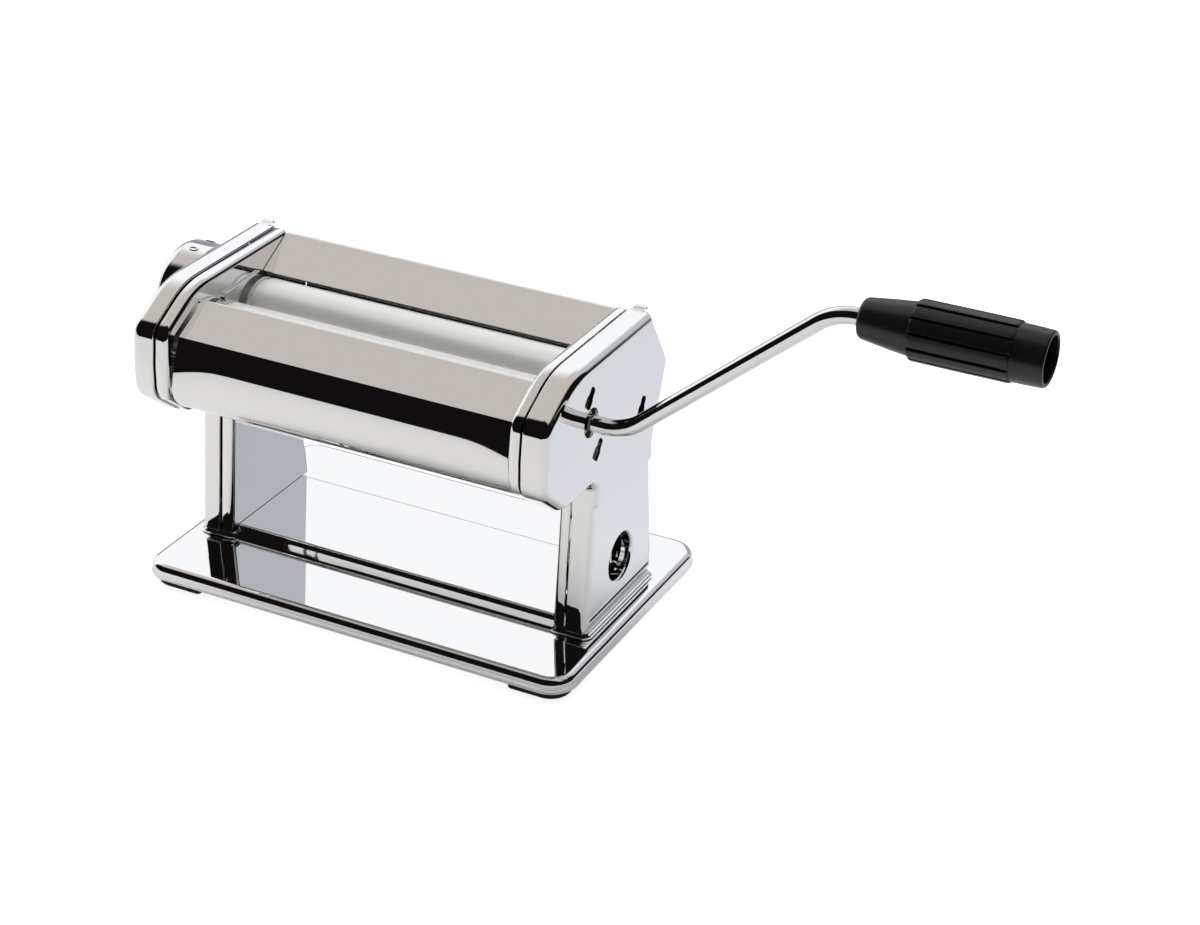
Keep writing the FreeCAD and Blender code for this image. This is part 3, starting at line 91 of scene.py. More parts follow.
def new_mesh(name, maker):
    """The mesh of the closed shapes that maker draws, its normals outwards."""
    made = bmesh.new()
    maker(made)
    bmesh.ops.remove_doubles(made, verts=made.verts, dist=1e-7)
    bmesh.ops.recalc_face_normals(made, faces=made.faces)
    mesh = bpy.data.meshes.new(name)
    made.to_mesh(mesh)
    made.free()
    return mesh


def new_object(name, data):
    """An object that carries data, put into the scene."""
    made = bpy.data.objects.new(name, data)
    bpy.context.scene.collection.objects.link(made)
    return made


def new_piece(name, maker):
    return new_object(name, new_mesh(name, maker))


def skin_rows(made, rows, closed=True, caps=True):
    """Quads between rows of points, with flat ends."""
    rings = [[made.verts.new(p) for p in row] for row in rows]
    for one, two in zip(rings, rings[1:]):
        count = len(one)
        for i in range(count if closed else count - 1):
            j = (i + 1) % count
            made.faces.new((one[i], one[j], two[j], two[i]))
    if caps:
        made.faces.new(rings[0])
        made.faces.new(rings[-1])


def crisp(piece, angle=34.0):
    """Smooth shading that keeps flats flat and sharp folds sharp."""
    for face in piece.data.polygons:
        face.use_smooth = True
    made = bmesh.new()
    made.from_mesh(piece.data)
    for edge in made.edges:
        sharp = len(edge.link_faces) != 2 or edge.calc_face_angle(0.0) > math.radians(angle)
        edge.smooth = not sharp
    made.to_mesh(piece.data)
    made.free()
    weights = piece.modifiers.new("flats", "WEIGHTED_NORMAL")
    weights.keep_sharp = True
    weights.weight = 100
    return piece


def coat(piece, material):
    """Give a piece its one material."""
    piece.data.materials.clear()
    piece.data.materials.append(material)


def plug(tree, value, socket):
    """Link a socket's output to another socket, or set a plain value on it."""
    if isinstance(value, bpy.types.NodeSocket):
        tree.links.new(value, socket)
    else:
        socket.default_value = value


def noise(tree, place, scale, detail):
    """Cloudy values at a place."""
    made = tree.nodes.new("ShaderNodeTexNoise")
    made.inputs["Detail"].default_value = detail
    tree.links.new(place, made.inputs["Vector"])
    plug(tree, scale, made.inputs["Scale"])
    return made.outputs["Fac"]


def ranged(tree, value, low, high, to_low=0.0, to_high=1.0, kind="LINEAR"):
    """A value carried from one range into another, level beyond both ends."""
    made = tree.nodes.new("ShaderNodeMapRange")
    made.interpolation_type = kind
    tree.links.new(value, made.inputs["Value"])
    for key, amount in (("From Min", low), ("From Max", high),
                        ("To Min", to_low), ("To Max", to_high)):
        plug(tree, amount, made.inputs[key])
    return made.outputs["Result"]


def bumped(tree, height, strength, distance):
    """A normal that leans with a height."""
    made = tree.nodes.new("ShaderNodeBump")
    made.inputs["Strength"].default_value = strength
    made.inputs["Distance"].default_value = distance
    tree.links.new(height, made.inputs["Height"])
    return made.outputs["Normal"]


def surface_marks():
    """Shader group: what handling leaves on polished or drawn metal.

    It puts out a roughness and a height, from cloudy smears, fine scratches
    and the slow waves of pressed sheet.
    """
    group = bpy.data.node_groups.new("surface_marks", "ShaderNodeTree")
    face = group.interface
    for name, value in (("Smear Scale", 18.0), ("Scratch Scale", 900.0),
                        ("Low Roughness", 0.02), ("High Roughness", 0.08),
                        ("Wave Scale", 14.0), ("Scratch Depth", 0.1)):
        made = face.new_socket(name, in_out="INPUT", socket_type="NodeSocketFloat")
        made.default_value = value
    face.new_socket("Stretch", in_out="INPUT", socket_type="NodeSocketVector")
    for name in ("Roughness", "Height"):
        face.new_socket(name, in_out="OUTPUT", socket_type="NodeSocketFloat")
    asked = group.nodes.new("NodeGroupInput").outputs
    given = group.nodes.new("NodeGroupOutput").inputs
    place = group.nodes.new("ShaderNodeTexCoord").outputs["Object"]
    stretched = group.nodes.new("ShaderNodeVectorMath")
    stretched.operation = "MULTIPLY"
    group.links.new(place, stretched.inputs[0])
    group.links.new(asked["Stretch"], stretched.inputs[1])
    smear = noise(group, place, asked["Smear Scale"], detail=4.0)
    wave = noise(group, place, asked["Wave Scale"], detail=0.0)
    scratch = noise(group, stretched.outputs["Vector"], asked["Scratch Scale"], detail=2.0)
    shine = ranged(group, smear, low=0.42, high=0.72,
                   to_low=asked["Low Roughness"], to_high=asked["High Roughness"])
    group.links.new(shine, given["Roughness"])
    shallow = group.nodes.new("ShaderNodeMath")
    shallow.operation = "MULTIPLY_ADD"
    for number, value in enumerate((scratch, asked["Scratch Depth"], wave)):
        group.links.new(value, shallow.inputs[number])
    group.links.new(shallow.outputs["Value"], given["Height"])
    return group


MARKS = surface_marks()


def new_material(name):
    """A material with its node tree and the inputs of its shader."""
    made = bpy.data.materials.new(name)
    made.use_nodes = True
    return made, made.node_tree, made.node_tree.nodes["Principled BSDF"].inputs


def metal(name, colour, low, high, depth, stretch=(1.0, 1.0, 1.0), scratch=900.0,
          scratch_depth=0.02, wave=14.0, smear=18.0, metallic=1.0):
    """A metal whose roughness, from low to high, and fine relief come from MARKS."""
    made, tree, shader = new_material(name)
    shader["Base Color"].default_value = (*colour, 1.0)
    shader["Metallic"].default_value = metallic
    marks = tree.nodes.new("ShaderNodeGroup")
    marks.node_tree = MARKS
    for key, value in (("Low Roughness", low), ("High Roughness", high),
                       ("Stretch", stretch), ("Scratch Scale", scratch),
                       ("Scratch Depth", scratch_depth), ("Wave Scale", wave),
                       ("Smear Scale", smear)):
        marks.inputs[key].default_value = value
    tree.links.new(marks.outputs["Roughness"], shader["Roughness"])
    relief = bumped(tree, marks.outputs["Height"], strength=1.0, distance=depth)
    tree.links.new(relief, shader["Normal"])
    return made


chrome_sheet = metal("chrome_sheet", (0.87, 0.87, 0.865), 0.012, 0.05, 0.00002)

BASE_X, BASE_Y, BASE_ROUND = 104.2, 67.3, 12.0
DECK, RIM_ROUND, RIM_FOOT_ROUND = 10.8, 3.6, 0.8
STAGE_X, STAGE_Y, STAGE_TOP = 79.95, 25.3, 16.0
PAD_X, PAD_HALF_X, PAD_HALF_Y, PAD_TOP, PAD_OVER = 87.6, 8.6, 31.4, 13.5, 1.2


def oblong(half_x, half_y, radius, inset, z, steps=8, middle=0.0):
    """A level ring with four rounded corners, about x = middle."""
    corners = [(-half_x, -half_y), (half_x, -half_y), (half_x, half_y), (-half_x, half_y)]
    return [spot(middle + p.x, p.y, z)
            for p in rounded_ring(corners, [radius] * 4, inset, steps)]


def pressed_step(out, z, bends):
    """Points of a pressed step that falls outward from (out, z), its foot first.

    Each bend is a radius and the two slopes, in degrees, that it joins. Where
    the slopes are equal, the first number is the length of a straight run.
    """
    points = [(out, z)]
    for radius, slope_from, slope_to in bends:
        turn = (slope_to - slope_from) / 6
        length = radius * math.radians(abs(turn)) if turn else radius / 6
        for k in range(6):
            slope = math.radians(slope_from + turn * (k + 0.5))
            out, z = out + length * math.cos(slope), z - length * math.sin(slope)
            points.append((out, z))
    return points[::-1]


def base_tray(made):
    """The rim with its deck, then the stage and the two pads that stand on it.

    The rim's rows are (height, distance inside the base's outline).
    """
    rim = [(9.6, 8.0), (9.6, 3.6), (8.6, 2.2), (7.4, 1.5), (4.6, 1.5), (4.1, 1.3)]
    rim += [(4.85 + RIM_FOOT_ROUND * s, RIM_FOOT_ROUND * (1 - c))
            for s, c in arc(8, -56.25, 33.75, first=0)]
    rim += [(5.9, 0.12), (6.4, 0.34), (6.9, 0.45)]
    rim += [(DECK - RIM_ROUND * (1 - s), 0.46 + RIM_ROUND * (1 - c))
            for s, c in arc(12, 6.0, 90.0)]
    skin_rows(made, [oblong(BASE_X, BASE_Y, BASE_ROUND, inset, z, steps=10)
                     for z, inset in rim])
    step = pressed_step(STAGE_Y, STAGE_TOP, [(2.0, 0, 65), (2.5, 65, 38), (3.2, 38, 38),
                                             (1.2, 38, 62), (1.5, 62, 0)])
    skin_rows(made, [oblong(STAGE_X, y, 0.3, 0.0, z) for y, z in step])
    step = pressed_step(0.0, PAD_TOP, [(1.0, 0, 70), (0.9, 70, 70), (1.2, 70, 0)])
    for middle in (-PAD_X, PAD_X):
        skin_rows(made, [oblong(PAD_HALF_X, PAD_HALF_Y, 3.2, PAD_OVER - out, z, middle=middle)
                         for out, z in step])


base = crisp(new_piece("base_plate_pressing", base_tray))
coat(base, chrome_sheet)
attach(base, "housing")
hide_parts("base_plate")

# Feet. Four pads of black rubber stuck up into the corners of the tray. They
# are the moulded blocks of the solid model, with the dull bloom of rubber.


def moulded(name, colour, roughness, grain, depth, spread=0.06):
    """A moulded material with a fine grain and a slightly uneven shine."""
    made, tree, shader = new_material(name)
    place = tree.nodes.new("ShaderNodeTexCoord").outputs["Object"]
    fine = noise(tree, place, scale=grain, detail=3.0)
    cloudy = noise(tree, place, scale=60.0, detail=3.0)
    shades = tree.nodes.new("ShaderNodeValToRGB")
    for stop, factor in zip(shades.color_ramp.elements, (0.8, 1.15)):
        stop.color = (*[min(1.0, part * factor) for part in colour], 1.0)
    tree.links.new(cloudy, shades.inputs["Fac"])
    tree.links.new(shades.outputs["Color"], shader["Base Color"])
    shine = ranged(tree, cloudy, 0.0, 1.0, roughness - spread, roughness + spread)
    tree.links.new(shine, shader["Roughness"])
    relief = bumped(tree, fine, strength=0.6, distance=depth)
    tree.links.new(relief, shader["Normal"])
    return made


def dress(material, *nodes):
    """Give the solids of the model that stay in sight a finished material."""
    for name in nodes:
        coat(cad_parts[name], material)


rubber = moulded("black_rubber", (0.018, 0.018, 0.018), 0.62, 2500.0, 0.00006)
dress(rubber, "foot_front_left", "foot_front_right", "foot_back_left", "foot_back_right")

# Side frames. The inner half of each housing, a flat plated pressing with a
# turned edge. It carries the rollers and runs down as a leg to the base; the
# right one has a drawn-in hole for a table clamp.

SIDES = (("right", 1.0), ("left", -1.0))
OUTLINE = [(-32.5, 13.5), (-26.5, 84.0), (-56.0, 84.0), (-73.3, 98.0), (-73.3, 112.0),
           (-71.6, 128.0), (-48.5, 141.0), (21.0, 141.0), (38.5, 113.5), (26.5, 80.0),
           (32.5, 13.5)]
OUTLINE_ROUNDS = [0.6, 5.0, 10.0, 10.0, 40.0, 9.5, 40.0, 3.0, 4.0, 8.0, 0.6]
DRIVE_Y, IDLE_Y, ADJUST_Y, AXIS_Z = -34.5, -6.0, -7.1, 115.0
CLAMP_Z, CLAMP_R, CLAMP_MOUTH, CLAMP_DEEP = 35.7, 10.5, 1.7, 5.0
FRAME_IN, FRAME_EDGE, FRAME_BACK, FRAME_CUT = 80.0, 2.4, 0.6, (79.0, 84.0)
NECK_HOLE_R, WINDOW_ROUNDS = 7.9, [4.8] * 4
WINDOW = [(-17.1, 106.1), (2.9, 106.1), (2.9, 123.9), (-17.1, 123.9)]


def panel_ring(side, x, inset):
    """The housing's outline at x, moved inwards by inset."""
    return [spot(side * x, p.x, p.y) for p in rounded_ring(OUTLINE, OUTLINE_ROUNDS, inset)]


def turned_rows(profile, y, z, steps, side=1.0):
    """Rings about an axis along X, one for each (x, radius) of a profile."""
    angles = [2 * math.pi * k / steps for k in range(steps)]
    return [[spot(side * x, y + radius * math.cos(angle), z + radius * math.sin(angle))
             for angle in angles] for x, radius in profile]


def turned_ring(made, profile, y, z, steps=96, side=1.0):
    """A closed profile turned all round: a tube, a collar or a bush."""
    rows = turned_rows(profile + profile[:1], y, z, steps, side)
    skin_rows(made, rows, caps=False)


def round_hole(made, y, z, radius, low, high):
    skin_rows(made, turned_rows([(low, radius), (high, radius)], y, z, 96))


def cornered_hole(made, corners, rounds, low, high):
    skin_rows(made, [[spot(x, p.x, p.y) for p in rounded_ring(corners, rounds)]
                     for x in (low, high)])


def applied(piece):
    """Turn what the modifiers show into the piece's own plain mesh."""
    depsgraph = bpy.context.evaluated_depsgraph_get()
    mesh = bpy.data.meshes.new_from_object(piece.evaluated_get(depsgraph))
    piece.modifiers.clear()
    piece.data = mesh
    return piece


def cut_out(piece, hole_maker):
    """Cut the shapes that hole_maker draws out of a piece."""
    holes = new_piece(piece.name + "_holes", hole_maker)
    cut = piece.modifiers.new("cut", "BOOLEAN")
    cut.operation = "DIFFERENCE"
    cut.solver = "EXACT"
    cut.object = holes
    applied(piece)
    bpy.data.objects.remove(holes)


def add_meshes(piece, meshes):
    """Add further closed meshes to a piece's own."""
    joined = bmesh.new()
    joined.from_mesh(piece.data)
    for mesh in meshes:
        joined.from_mesh(mesh)
        bpy.data.meshes.remove(mesh)
    joined.to_mesh(piece.data)
    joined.free()


def drawn_collar(face, wall):
    """The profile of a hole rim that is drawn into the sheet from its face."""
    profile = [(face - CLAMP_MOUTH * (1 - c) - 0.001, CLAMP_R + CLAMP_MOUTH * (1 - s))
               for s, c in arc(8, first=0)]
    profile += [(face - CLAMP_DEEP, CLAMP_R), (face - CLAMP_DEEP, CLAMP_R + wall),
                (face - 1.9, CLAMP_R + wall), (face - 1.1, CLAMP_R + 1.9)]
    return profile


# Each row is x and how far it lies inside the outline: from the hollow's floor
# out to the turned edge, round that, and back over the rounded inner face.
frame_rows = [(81.0, 3.4), (81.1, 2.2), (81.8, 1.2), (83.0, 1.0), (85.2, 1.0),
              (85.35, 0.85), (85.3, 0.5), (85.15, 0.15), (84.85, 0.0), (82.4, 0.0)]
frame_rows += [(FRAME_IN + FRAME_EDGE * (1 - s), FRAME_EDGE * (1 - c)) for s, c in arc(9)]


def frame_skin(made, side):
    skin_rows(made, [panel_ring(side, x, inset + FRAME_BACK) for x, inset in frame_rows])


def frame_holes(made, side):
    """A hole and a window for the rollers' necks, and the hole for the clamp."""
    low, high = sorted(side * x for x in FRAME_CUT)
    round_hole(made, DRIVE_Y, AXIS_Z, NECK_HOLE_R, low, high)
    cornered_hole(made, WINDOW, WINDOW_ROUNDS, low, high)
    if side > 0:
        round_hole(made, 0.0, CLAMP_Z, CLAMP_R + CLAMP_MOUTH, low, high)


def frame_collar(made):
    profile = [(2 * FRAME_IN - x, radius) for x, radius in drawn_collar(FRAME_IN, wall=1.0)]
    turned_ring(made, profile, 0.0, CLAMP_Z)


for word, side in SIDES:
    panel = new_piece("side_frame_%s_pressing" % word, lambda made: frame_skin(made, side))
    cut_out(panel, lambda made: frame_holes(made, side))
    if side > 0:
        add_meshes(panel, [new_mesh("collar", frame_collar)])
    crisp(panel)
    coat(panel, chrome_sheet)
    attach(panel, "housing")
    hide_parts("side_frame_" + word)

# Outer covers. The deeper outer half of each housing, pressed from the same
# plated sheet, meets the frame at a dark seam. Its leg steps back below the
# head and once more at its foot, and a low hook stands up at the crest.

COVER_FACE, LEG_FACE, SEAM, COVER_EDGE, COVER_CUT = 97.5, 96.0, 86.0, 4.2, (92.0, 99.0)
CRANK_HOLE_R, SHAFT_HOLE_R = 6.3, 5.0
LEG_FOLD, FOOT_FOLD, FOOT_IN = (71.0, 72.6), (23.0, 23.4), 0.2
KEY_SLOTS = ((-35.7, 126.4, -40.0), (-27.8, 100.0, -40.0), (12.4, 101.5, -27.0))
KEY_HALF = [(3.0, -4.7), (3.0, -0.4), (2.2, 0.8), (2.2, 4.7)]
KEY_ROUNDS = [1.4, 0.4, 0.4, 1.4, 1.4, 0.4, 0.4, 1.4]
HOOK_LINE = [(18.0, 140.7), (19.6, 141.0), (21.2, 141.5), (22.4, 141.9), (23.3, 141.7),
             (23.7, 141.0), (23.4, 140.3)]
HOOK_IN, HOOK_OUT, HOOK_HALF = 88.2, 93.3, 0.3

# Rows as for the frame, but with the rounded edge at the outer face.
cover_rows = [(96.3, 5.2), (96.2, 4.0), (95.2, 2.0), (93.0, 1.2), (86.45, 1.2),
              (86.3, 0.95), (86.35, 0.5), (86.55, 0.15), (86.95, 0.0), (93.3, 0.0)]
cover_rows += [(COVER_FACE - COVER_EDGE * (1 - s), COVER_EDGE * (1 - c)) for s, c in arc(14)]


def ramp(value, low, high):
    """0 at low, 1 at high and level beyond both."""
    return min(1.0, max(0.0, (value - low) / (high - low)))


def step_back(x, z):
    """The leg's face lies further in than the head's, and its foot a little more."""
    share = (x - SEAM) / (COVER_FACE - SEAM)
    fold_in = (COVER_FACE - LEG_FACE) * (1.0 - ramp(z, *LEG_FOLD))
    return x - share * (fold_in + FOOT_IN * (1.0 - ramp(z, *FOOT_FOLD)))


def key_slot(y, z, tilt):
    """A keyhole: a wide end and a narrower one, met by a short slope."""
    corners = KEY_HALF + [(-a, b) for a, b in KEY_HALF[::-1]]
    leaning = [swung(Vector(corner), math.radians(tilt)) for corner in corners]
    return [(y + p.x, z + p.y) for p in leaning]


def offset_line(line, reach):
    """A line that runs beside another at an even distance."""
    beside = []
    for k, here in enumerate(line):
        ahead = line[min(k + 1, len(line) - 1)] - line[max(k - 1, 0)]
        beside.append(here + Vector((ahead.y, -ahead.x)).normalized() * reach)
    return beside


def cover_skin(made, side):
    skin_rows(made, [panel_ring(side, x, inset) for x, inset in cover_rows])
    for height in FOOT_FOLD + LEG_FOLD:
        bmesh.ops.bisect_plane(made, geom=made.verts[:] + made.edges[:] + made.faces[:],
                               plane_co=spot(0, 0, height), plane_no=(0, 0, 1))
    for vert in made.verts:
        x = side * (vert.co.x / MM - MIDDLE.x)
        vert.co.x = (side * step_back(x, vert.co.z / MM) + MIDDLE.x) * MM


def cover_holes(made, side):
    """On the right the holes for clamp, crank and attachments, else the shaft's."""
    low, high = sorted(side * x for x in COVER_CUT)
    if side > 0:
        round_hole(made, 0.0, CLAMP_Z, CLAMP_R + CLAMP_MOUTH, low, high)
        round_hole(made, DRIVE_Y, AXIS_Z, CRANK_HOLE_R, low, high)
        for slot in KEY_SLOTS:
            cornered_hole(made, key_slot(*slot), KEY_ROUNDS, low, high)
    else:
        round_hole(made, ADJUST_Y, AXIS_Z, SHAFT_HOLE_R, low, high)


def cover_collar(made):
    turned_ring(made, drawn_collar(LEG_FACE, wall=1.2), 0.0, CLAMP_Z)


def hook(made, side):
    """A short tongue of sheet that curls up and over."""
    line = [Vector(point) for point in HOOK_LINE]
    beside = zip(offset_line(line, HOOK_HALF), offset_line(line, -HOOK_HALF))
    skin_rows(made, [[spot(side * x, p.x, p.y) for x, p in (
        (HOOK_IN, one), (HOOK_OUT, one), (HOOK_OUT, two), (HOOK_IN, two))]
        for one, two in beside])


for word, side in SIDES:
    cover = new_piece("outer_cover_%s_pressing" % word, lambda made: cover_skin(made, side))
    cut_out(cover, lambda made: cover_holes(made, side))
    if side > 0:
        add_meshes(cover, [new_mesh("collar", cover_collar)])
    add_meshes(cover, [new_mesh("hook", lambda made: hook(made, side))])
    crisp(cover)
    coat(cover, chrome_sheet)
    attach(cover, "housing")
    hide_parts("outer_cover_" + word)

# Front cover and hopper plate. Two bent and plated sheets between the frames.
# The front one slopes over the driven roller, turns a narrow nose and curves
# back under it; the rear one slopes to the rear roller and closes the back.

FACET, END_STRIP, FACET_LIFT = 6.2, 0.25, 0.06
COLUMNS = [50.0, 54.0, 57.0, 60.0, 62.0, 64.0, 66.0, 68.0, 70.0, 72.0, 74.0, 76.0, 77.5]
FLARE_FROM = 54.0
SHEET_LOW, BELLY_LOW, BELLY_HIGH, BROW_LOW = 86.7, 100.7, 103.0, 119.0
GAP_FROM, GAP_FULL = 96.0, 110.0


def rounded_line(points, rounds, steps):
    """An open line with its inner corners rounded."""
    line = [Vector(points[0])]
    for i, radius in enumerate(rounds, 1):
        before, here, after = (Vector(points[i + k]) for k in (-1, 0, 1))
        arriving = (here - before).normalized()
        leaving = (after - here).normalized()
        turn = math.acos(max(-1.0, min(1.0, arriving.dot(leaving))))
        reach = radius * math.tan(turn / 2)
        sense = 1.0 if arriving.cross(leaving) > 0 else -1.0
        normal = Vector((-arriving.y, arriving.x)) * sense
        centre = here - arriving * reach + normal * radius
        line += [centre + swung(-normal * radius, sense * turn * k / steps)
                 for k in range(steps + 1)]
    line.append(Vector(points[-1]))
    return line


def eased(share):
    """A soft start and end for a share between 0 and 1."""
    return share * share * (3 - 2 * share)


def bent_sheet(made, line, thick, facet_at, flare, gap):
    """A sheet of even section along X, with a small facet folded at both ends.

    The facet is widest at the line's point number facet_at. Above its lower
    part the sheet ends short of the frame by gap, and towards its ends the
    front bellies out by flare.
    """
    numbers = list(range(len(line)))
    section = list(zip(numbers + numbers[::-1], line + offset_line(line, thick)[::-1]))
    half = COLUMNS + [FRAME_IN, FRAME_IN]
    stations = [-x for x in half[::-1]] + half
    rows = []
    for place, station in enumerate(stations):
        at_end = place in (0, len(stations) - 1)
        row = []
        for number, point in section:
            width = FACET if number == facet_at else END_STRIP
            reach = FRAME_IN - gap * ramp(line[number].y, GAP_FROM, GAP_FULL)
            reach -= 0.0 if at_end else width
            x = max(-reach, min(reach, station))
            lift = FACET_LIFT * (width - END_STRIP) if at_end else 0.0
            belly = flare * ramp(abs(x), FLARE_FROM, FRAME_IN) ** 2
            belly *= eased(ramp(point.y, SHEET_LOW, BELLY_LOW))
            belly *= eased(ramp(point.y, BROW_LOW, BELLY_HIGH))
            row.append(spot(x, point.x - belly, point.y + lift))
        rows.append(row)
    skin_rows(made, rows)


front_line = rounded_line([(-43.6, 130.8), (-44.2, 133.3), (-64.1, 123.5), (-68.6, 113.5),
                           (-68.6, 94.2), (-56.0, 86.7), (-51.5, 87.2)],
                          [1.2, 1.2, 36.0, 16.0, 3.0], 8)
hopper_line = rounded_line([(0.9, 128.3), (21.3, 139.9), (37.2, 113.8), (26.2, 84.0),
                            (22.8, 86.4)], [2.2, 3.0, 1.2], 8)

front_cover = new_piece("front_cover_sheet", lambda made: bent_sheet(
    made, front_line, -1.0, facet_at=9, flare=1.3, gap=1.2))
hopper = new_piece("hopper_plate_sheet", lambda made: bent_sheet(
    made, hopper_line, 1.0, facet_at=0, flare=0.0, gap=0.25))
for piece, node in ((front_cover, "front_cover"), (hopper, "hopper_plate")):
    crisp(piece)
    coat(piece, chrome_sheet)
    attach(piece, "housing")
    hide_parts(node)

# Rollers. Two steel rollers, ground smooth and plated, with a ring groove
# near each end. The front one is driven, the rear one is a tube that can be
# moved to set the gap.

roller_steel = metal("roller_steel", (0.90, 0.905, 0.88), 0.26, 0.33, 0.000006,
                     stretch=(0.05, 1.0, 1.0), scratch=700.0, scratch_depth=0.6,
                     wave=3.0, smear=12.0, metallic=0.32)


def roller_profile(neck):
    """A roller's outline between its necks, the same on both sides."""
    half = [(60.0, 13.0), (73.2, 13.0), (73.4, 12.8), (73.5, 12.05), (75.7, 12.05),
            (75.8, 12.8), (76.0, 13.0), (76.6, 13.0), (76.9, 12.85), (77.0, 12.5),
            (77.0, neck + 0.4), (77.2, neck)]
    return [(-x, radius) for x, radius in half[::-1]] + half


def driven_roller(made):
    """Closed on the left, with a bored tube for the crank on the right."""
    profile = [(-90.2, 0.0), (-90.2, 6.6), (-89.8, 7.0)] + roller_profile(7.0)
    profile += [(90.2, 7.0), (90.2, 5.6), (94.8, 5.6), (95.2, 5.2), (95.2, 3.6),
                (92.0, 3.6), (92.0, 0.0)]
    skin_rows(made, turned_rows(profile, DRIVE_Y, AXIS_Z, 128), caps=False)


def idle_roller(made):
    """A tube that the adjuster shaft passes through."""
    profile = [(-89.7, 5.25), (-89.7, 8.0)] + roller_profile(8.0)
    profile += [(89.7, 8.0), (89.7, 5.25)]
    turned_ring(made, profile, IDLE_Y, AXIS_Z, 128)


for node, body, maker in (("front_roller", "drive", driven_roller),
                          ("rear_roller", "idler", idle_roller)):
    roller = crisp(new_piece(node + "_turned", maker))
    coat(roller, roller_steel)
    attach(roller, body)
    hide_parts(node)

# Inner works. A thin plate stands at each end of the rollers. Rods, plates,
# gears and cams are the solids of the model: drawn or stamped steel, bronze
# where a shaft turns, and white nylon for the scrapers under the rollers.

drawn_steel = metal("drawn_steel", (0.60, 0.61, 0.62), 0.16, 0.3, 0.00002,
                    stretch=(0.04, 1.0, 1.0), scratch=1200.0, scratch_depth=0.5)
polished_edge = metal("polished_edge", (0.84, 0.84, 0.84), 0.03, 0.09, 0.00001)
bronze = metal("bronze", (0.62, 0.43, 0.22), 0.22, 0.38, 0.00003, scratch=1500.0,
               scratch_depth=0.6)
nylon = moulded("white_nylon", (0.74, 0.73, 0.69), 0.4, 1500.0, 0.00003)

GUIDE_CORNERS = [(-51.0, 98.0), (-51.0, 124.6), (-46.0, 126.2), (-30.4, 126.8),
                 (-29.4, 129.5), (-3.0, 130.0), (-1.2, 126.4), (14.0, 126.4), (14.0, 98.0)]
GUIDE_ROUNDS = [3.0, 1.0, 1.0, 0.3, 0.4, 0.6, 0.4, 3.0, 3.0]


def guide_plate(made, side):
    """A thin plate whose top edge stands a little above the rollers."""
    skin_rows(made, [[spot(side * x, p.x, p.y)
                      for p in rounded_ring(GUIDE_CORNERS, GUIDE_ROUNDS, inset)]
                     for x, inset in ((79.9, 0.0), (78.95, 0.0), (78.8, 0.15))])


for word, side in SIDES:
    guide = crisp(new_piece("end_guide_%s_plate" % word, lambda made: guide_plate(made, side)))
    coat(guide, polished_edge)
    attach(guide, "housing")
    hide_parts("end_guide_" + word)

dress(drawn_steel, "bearing_plate_right", "bearing_plate_left", "tie_rod_front",
      "tie_rod_back", "scraper_rod_front", "scraper_rod_back", "frame_spacers",
      "tie_rod_nuts", "base_screws", "base_nuts", "drive_gear", "idle_gear", "cam_right",
      "cam_left", "adjuster_shaft", "index_pin", "knob_washer", "knob_screw", "grip_clip")
dress(bronze, "drive_bush_right", "drive_bush_left", "bearing_block_right",
      "bearing_block_left", "shaft_cup_right", "shaft_sleeve_left")
dress(nylon, "scraper_front", "scraper_back")

# Gap knob. A plated drum that slides on the adjuster shaft. The numbers 0 to 9
# stand raised round its rim, one for each setting, over a black index ring.

dial_black = moulded("dial_black", (0.02, 0.02, 0.022), 0.38, 1800.0, 0.00003)
dress(dial_black, "index_ring")

KNOB_R, KNOB_END, KNOB_EDGE = 22.6, 117.5, 5.5
DIGIT_X, DIGIT_SIZE, DIGIT_TALL, DIGIT_EDGE, DIGIT_SINK = 107.0, 6.4, 0.35, 0.1, 0.1
FIRST_DIGIT, DIGIT_STEP = 100.0, 33.0


def knob_drum(made):
    """A hollow drum, open to the housing, with a bored hub and a round edge."""
    profile = [(100.0, 8.5), (115.7, 8.5), (115.9, 9.2), (115.9, 17.1), (112.0, 21.0),
               (100.2, 21.0), (100.0, 21.3), (100.0, 22.2), (100.3, 22.55),
               (100.9, KNOB_R), (KNOB_END - KNOB_EDGE, KNOB_R)]
    profile += [(KNOB_END - KNOB_EDGE * (1 - s), KNOB_R - KNOB_EDGE * (1 - c))
                for s, c in arc(14)]
    profile += [(KNOB_END, 6.5), (117.1, 6.0), (110.0, 6.0), (110.0, 3.1), (100.0, 3.1)]
    turned_ring(made, profile, ADJUST_Y, AXIS_Z, 128, side=-1.0)


def numeral(digit):
    """One raised digit, bent round the drum."""
    words = bpy.data.curves.new("numeral_%d" % digit, "FONT")
    words.body = str(digit)
    words.size = DIGIT_SIZE
    words.align_x = "CENTER"
    words.align_y = "CENTER"
    words.extrude = DIGIT_TALL
    words.bevel_depth = DIGIT_EDGE
    carrier = new_object(words.name, words)
    depsgraph = bpy.context.evaluated_depsgraph_get()
    mesh = bpy.data.meshes.new_from_object(carrier.evaluated_get(depsgraph))
    bpy.data.objects.remove(carrier)
    for vert in mesh.vertices:
        turn = math.radians(FIRST_DIGIT - DIGIT_STEP * digit) + vert.co.x / KNOB_R
        reach = KNOB_R - DIGIT_SINK + vert.co.z
        vert.co = spot(-(DIGIT_X + vert.co.y), ADJUST_Y + reach * math.cos(turn),
                       AXIS_Z + reach * math.sin(turn))
    return mesh


knob = new_piece("adjuster_knob_drum", knob_drum)
add_meshes(knob, [numeral(digit) for digit in range(10)])
crisp(knob)
coat(knob, chrome_sheet)
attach(knob, "knob")
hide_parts("adjuster_knob")

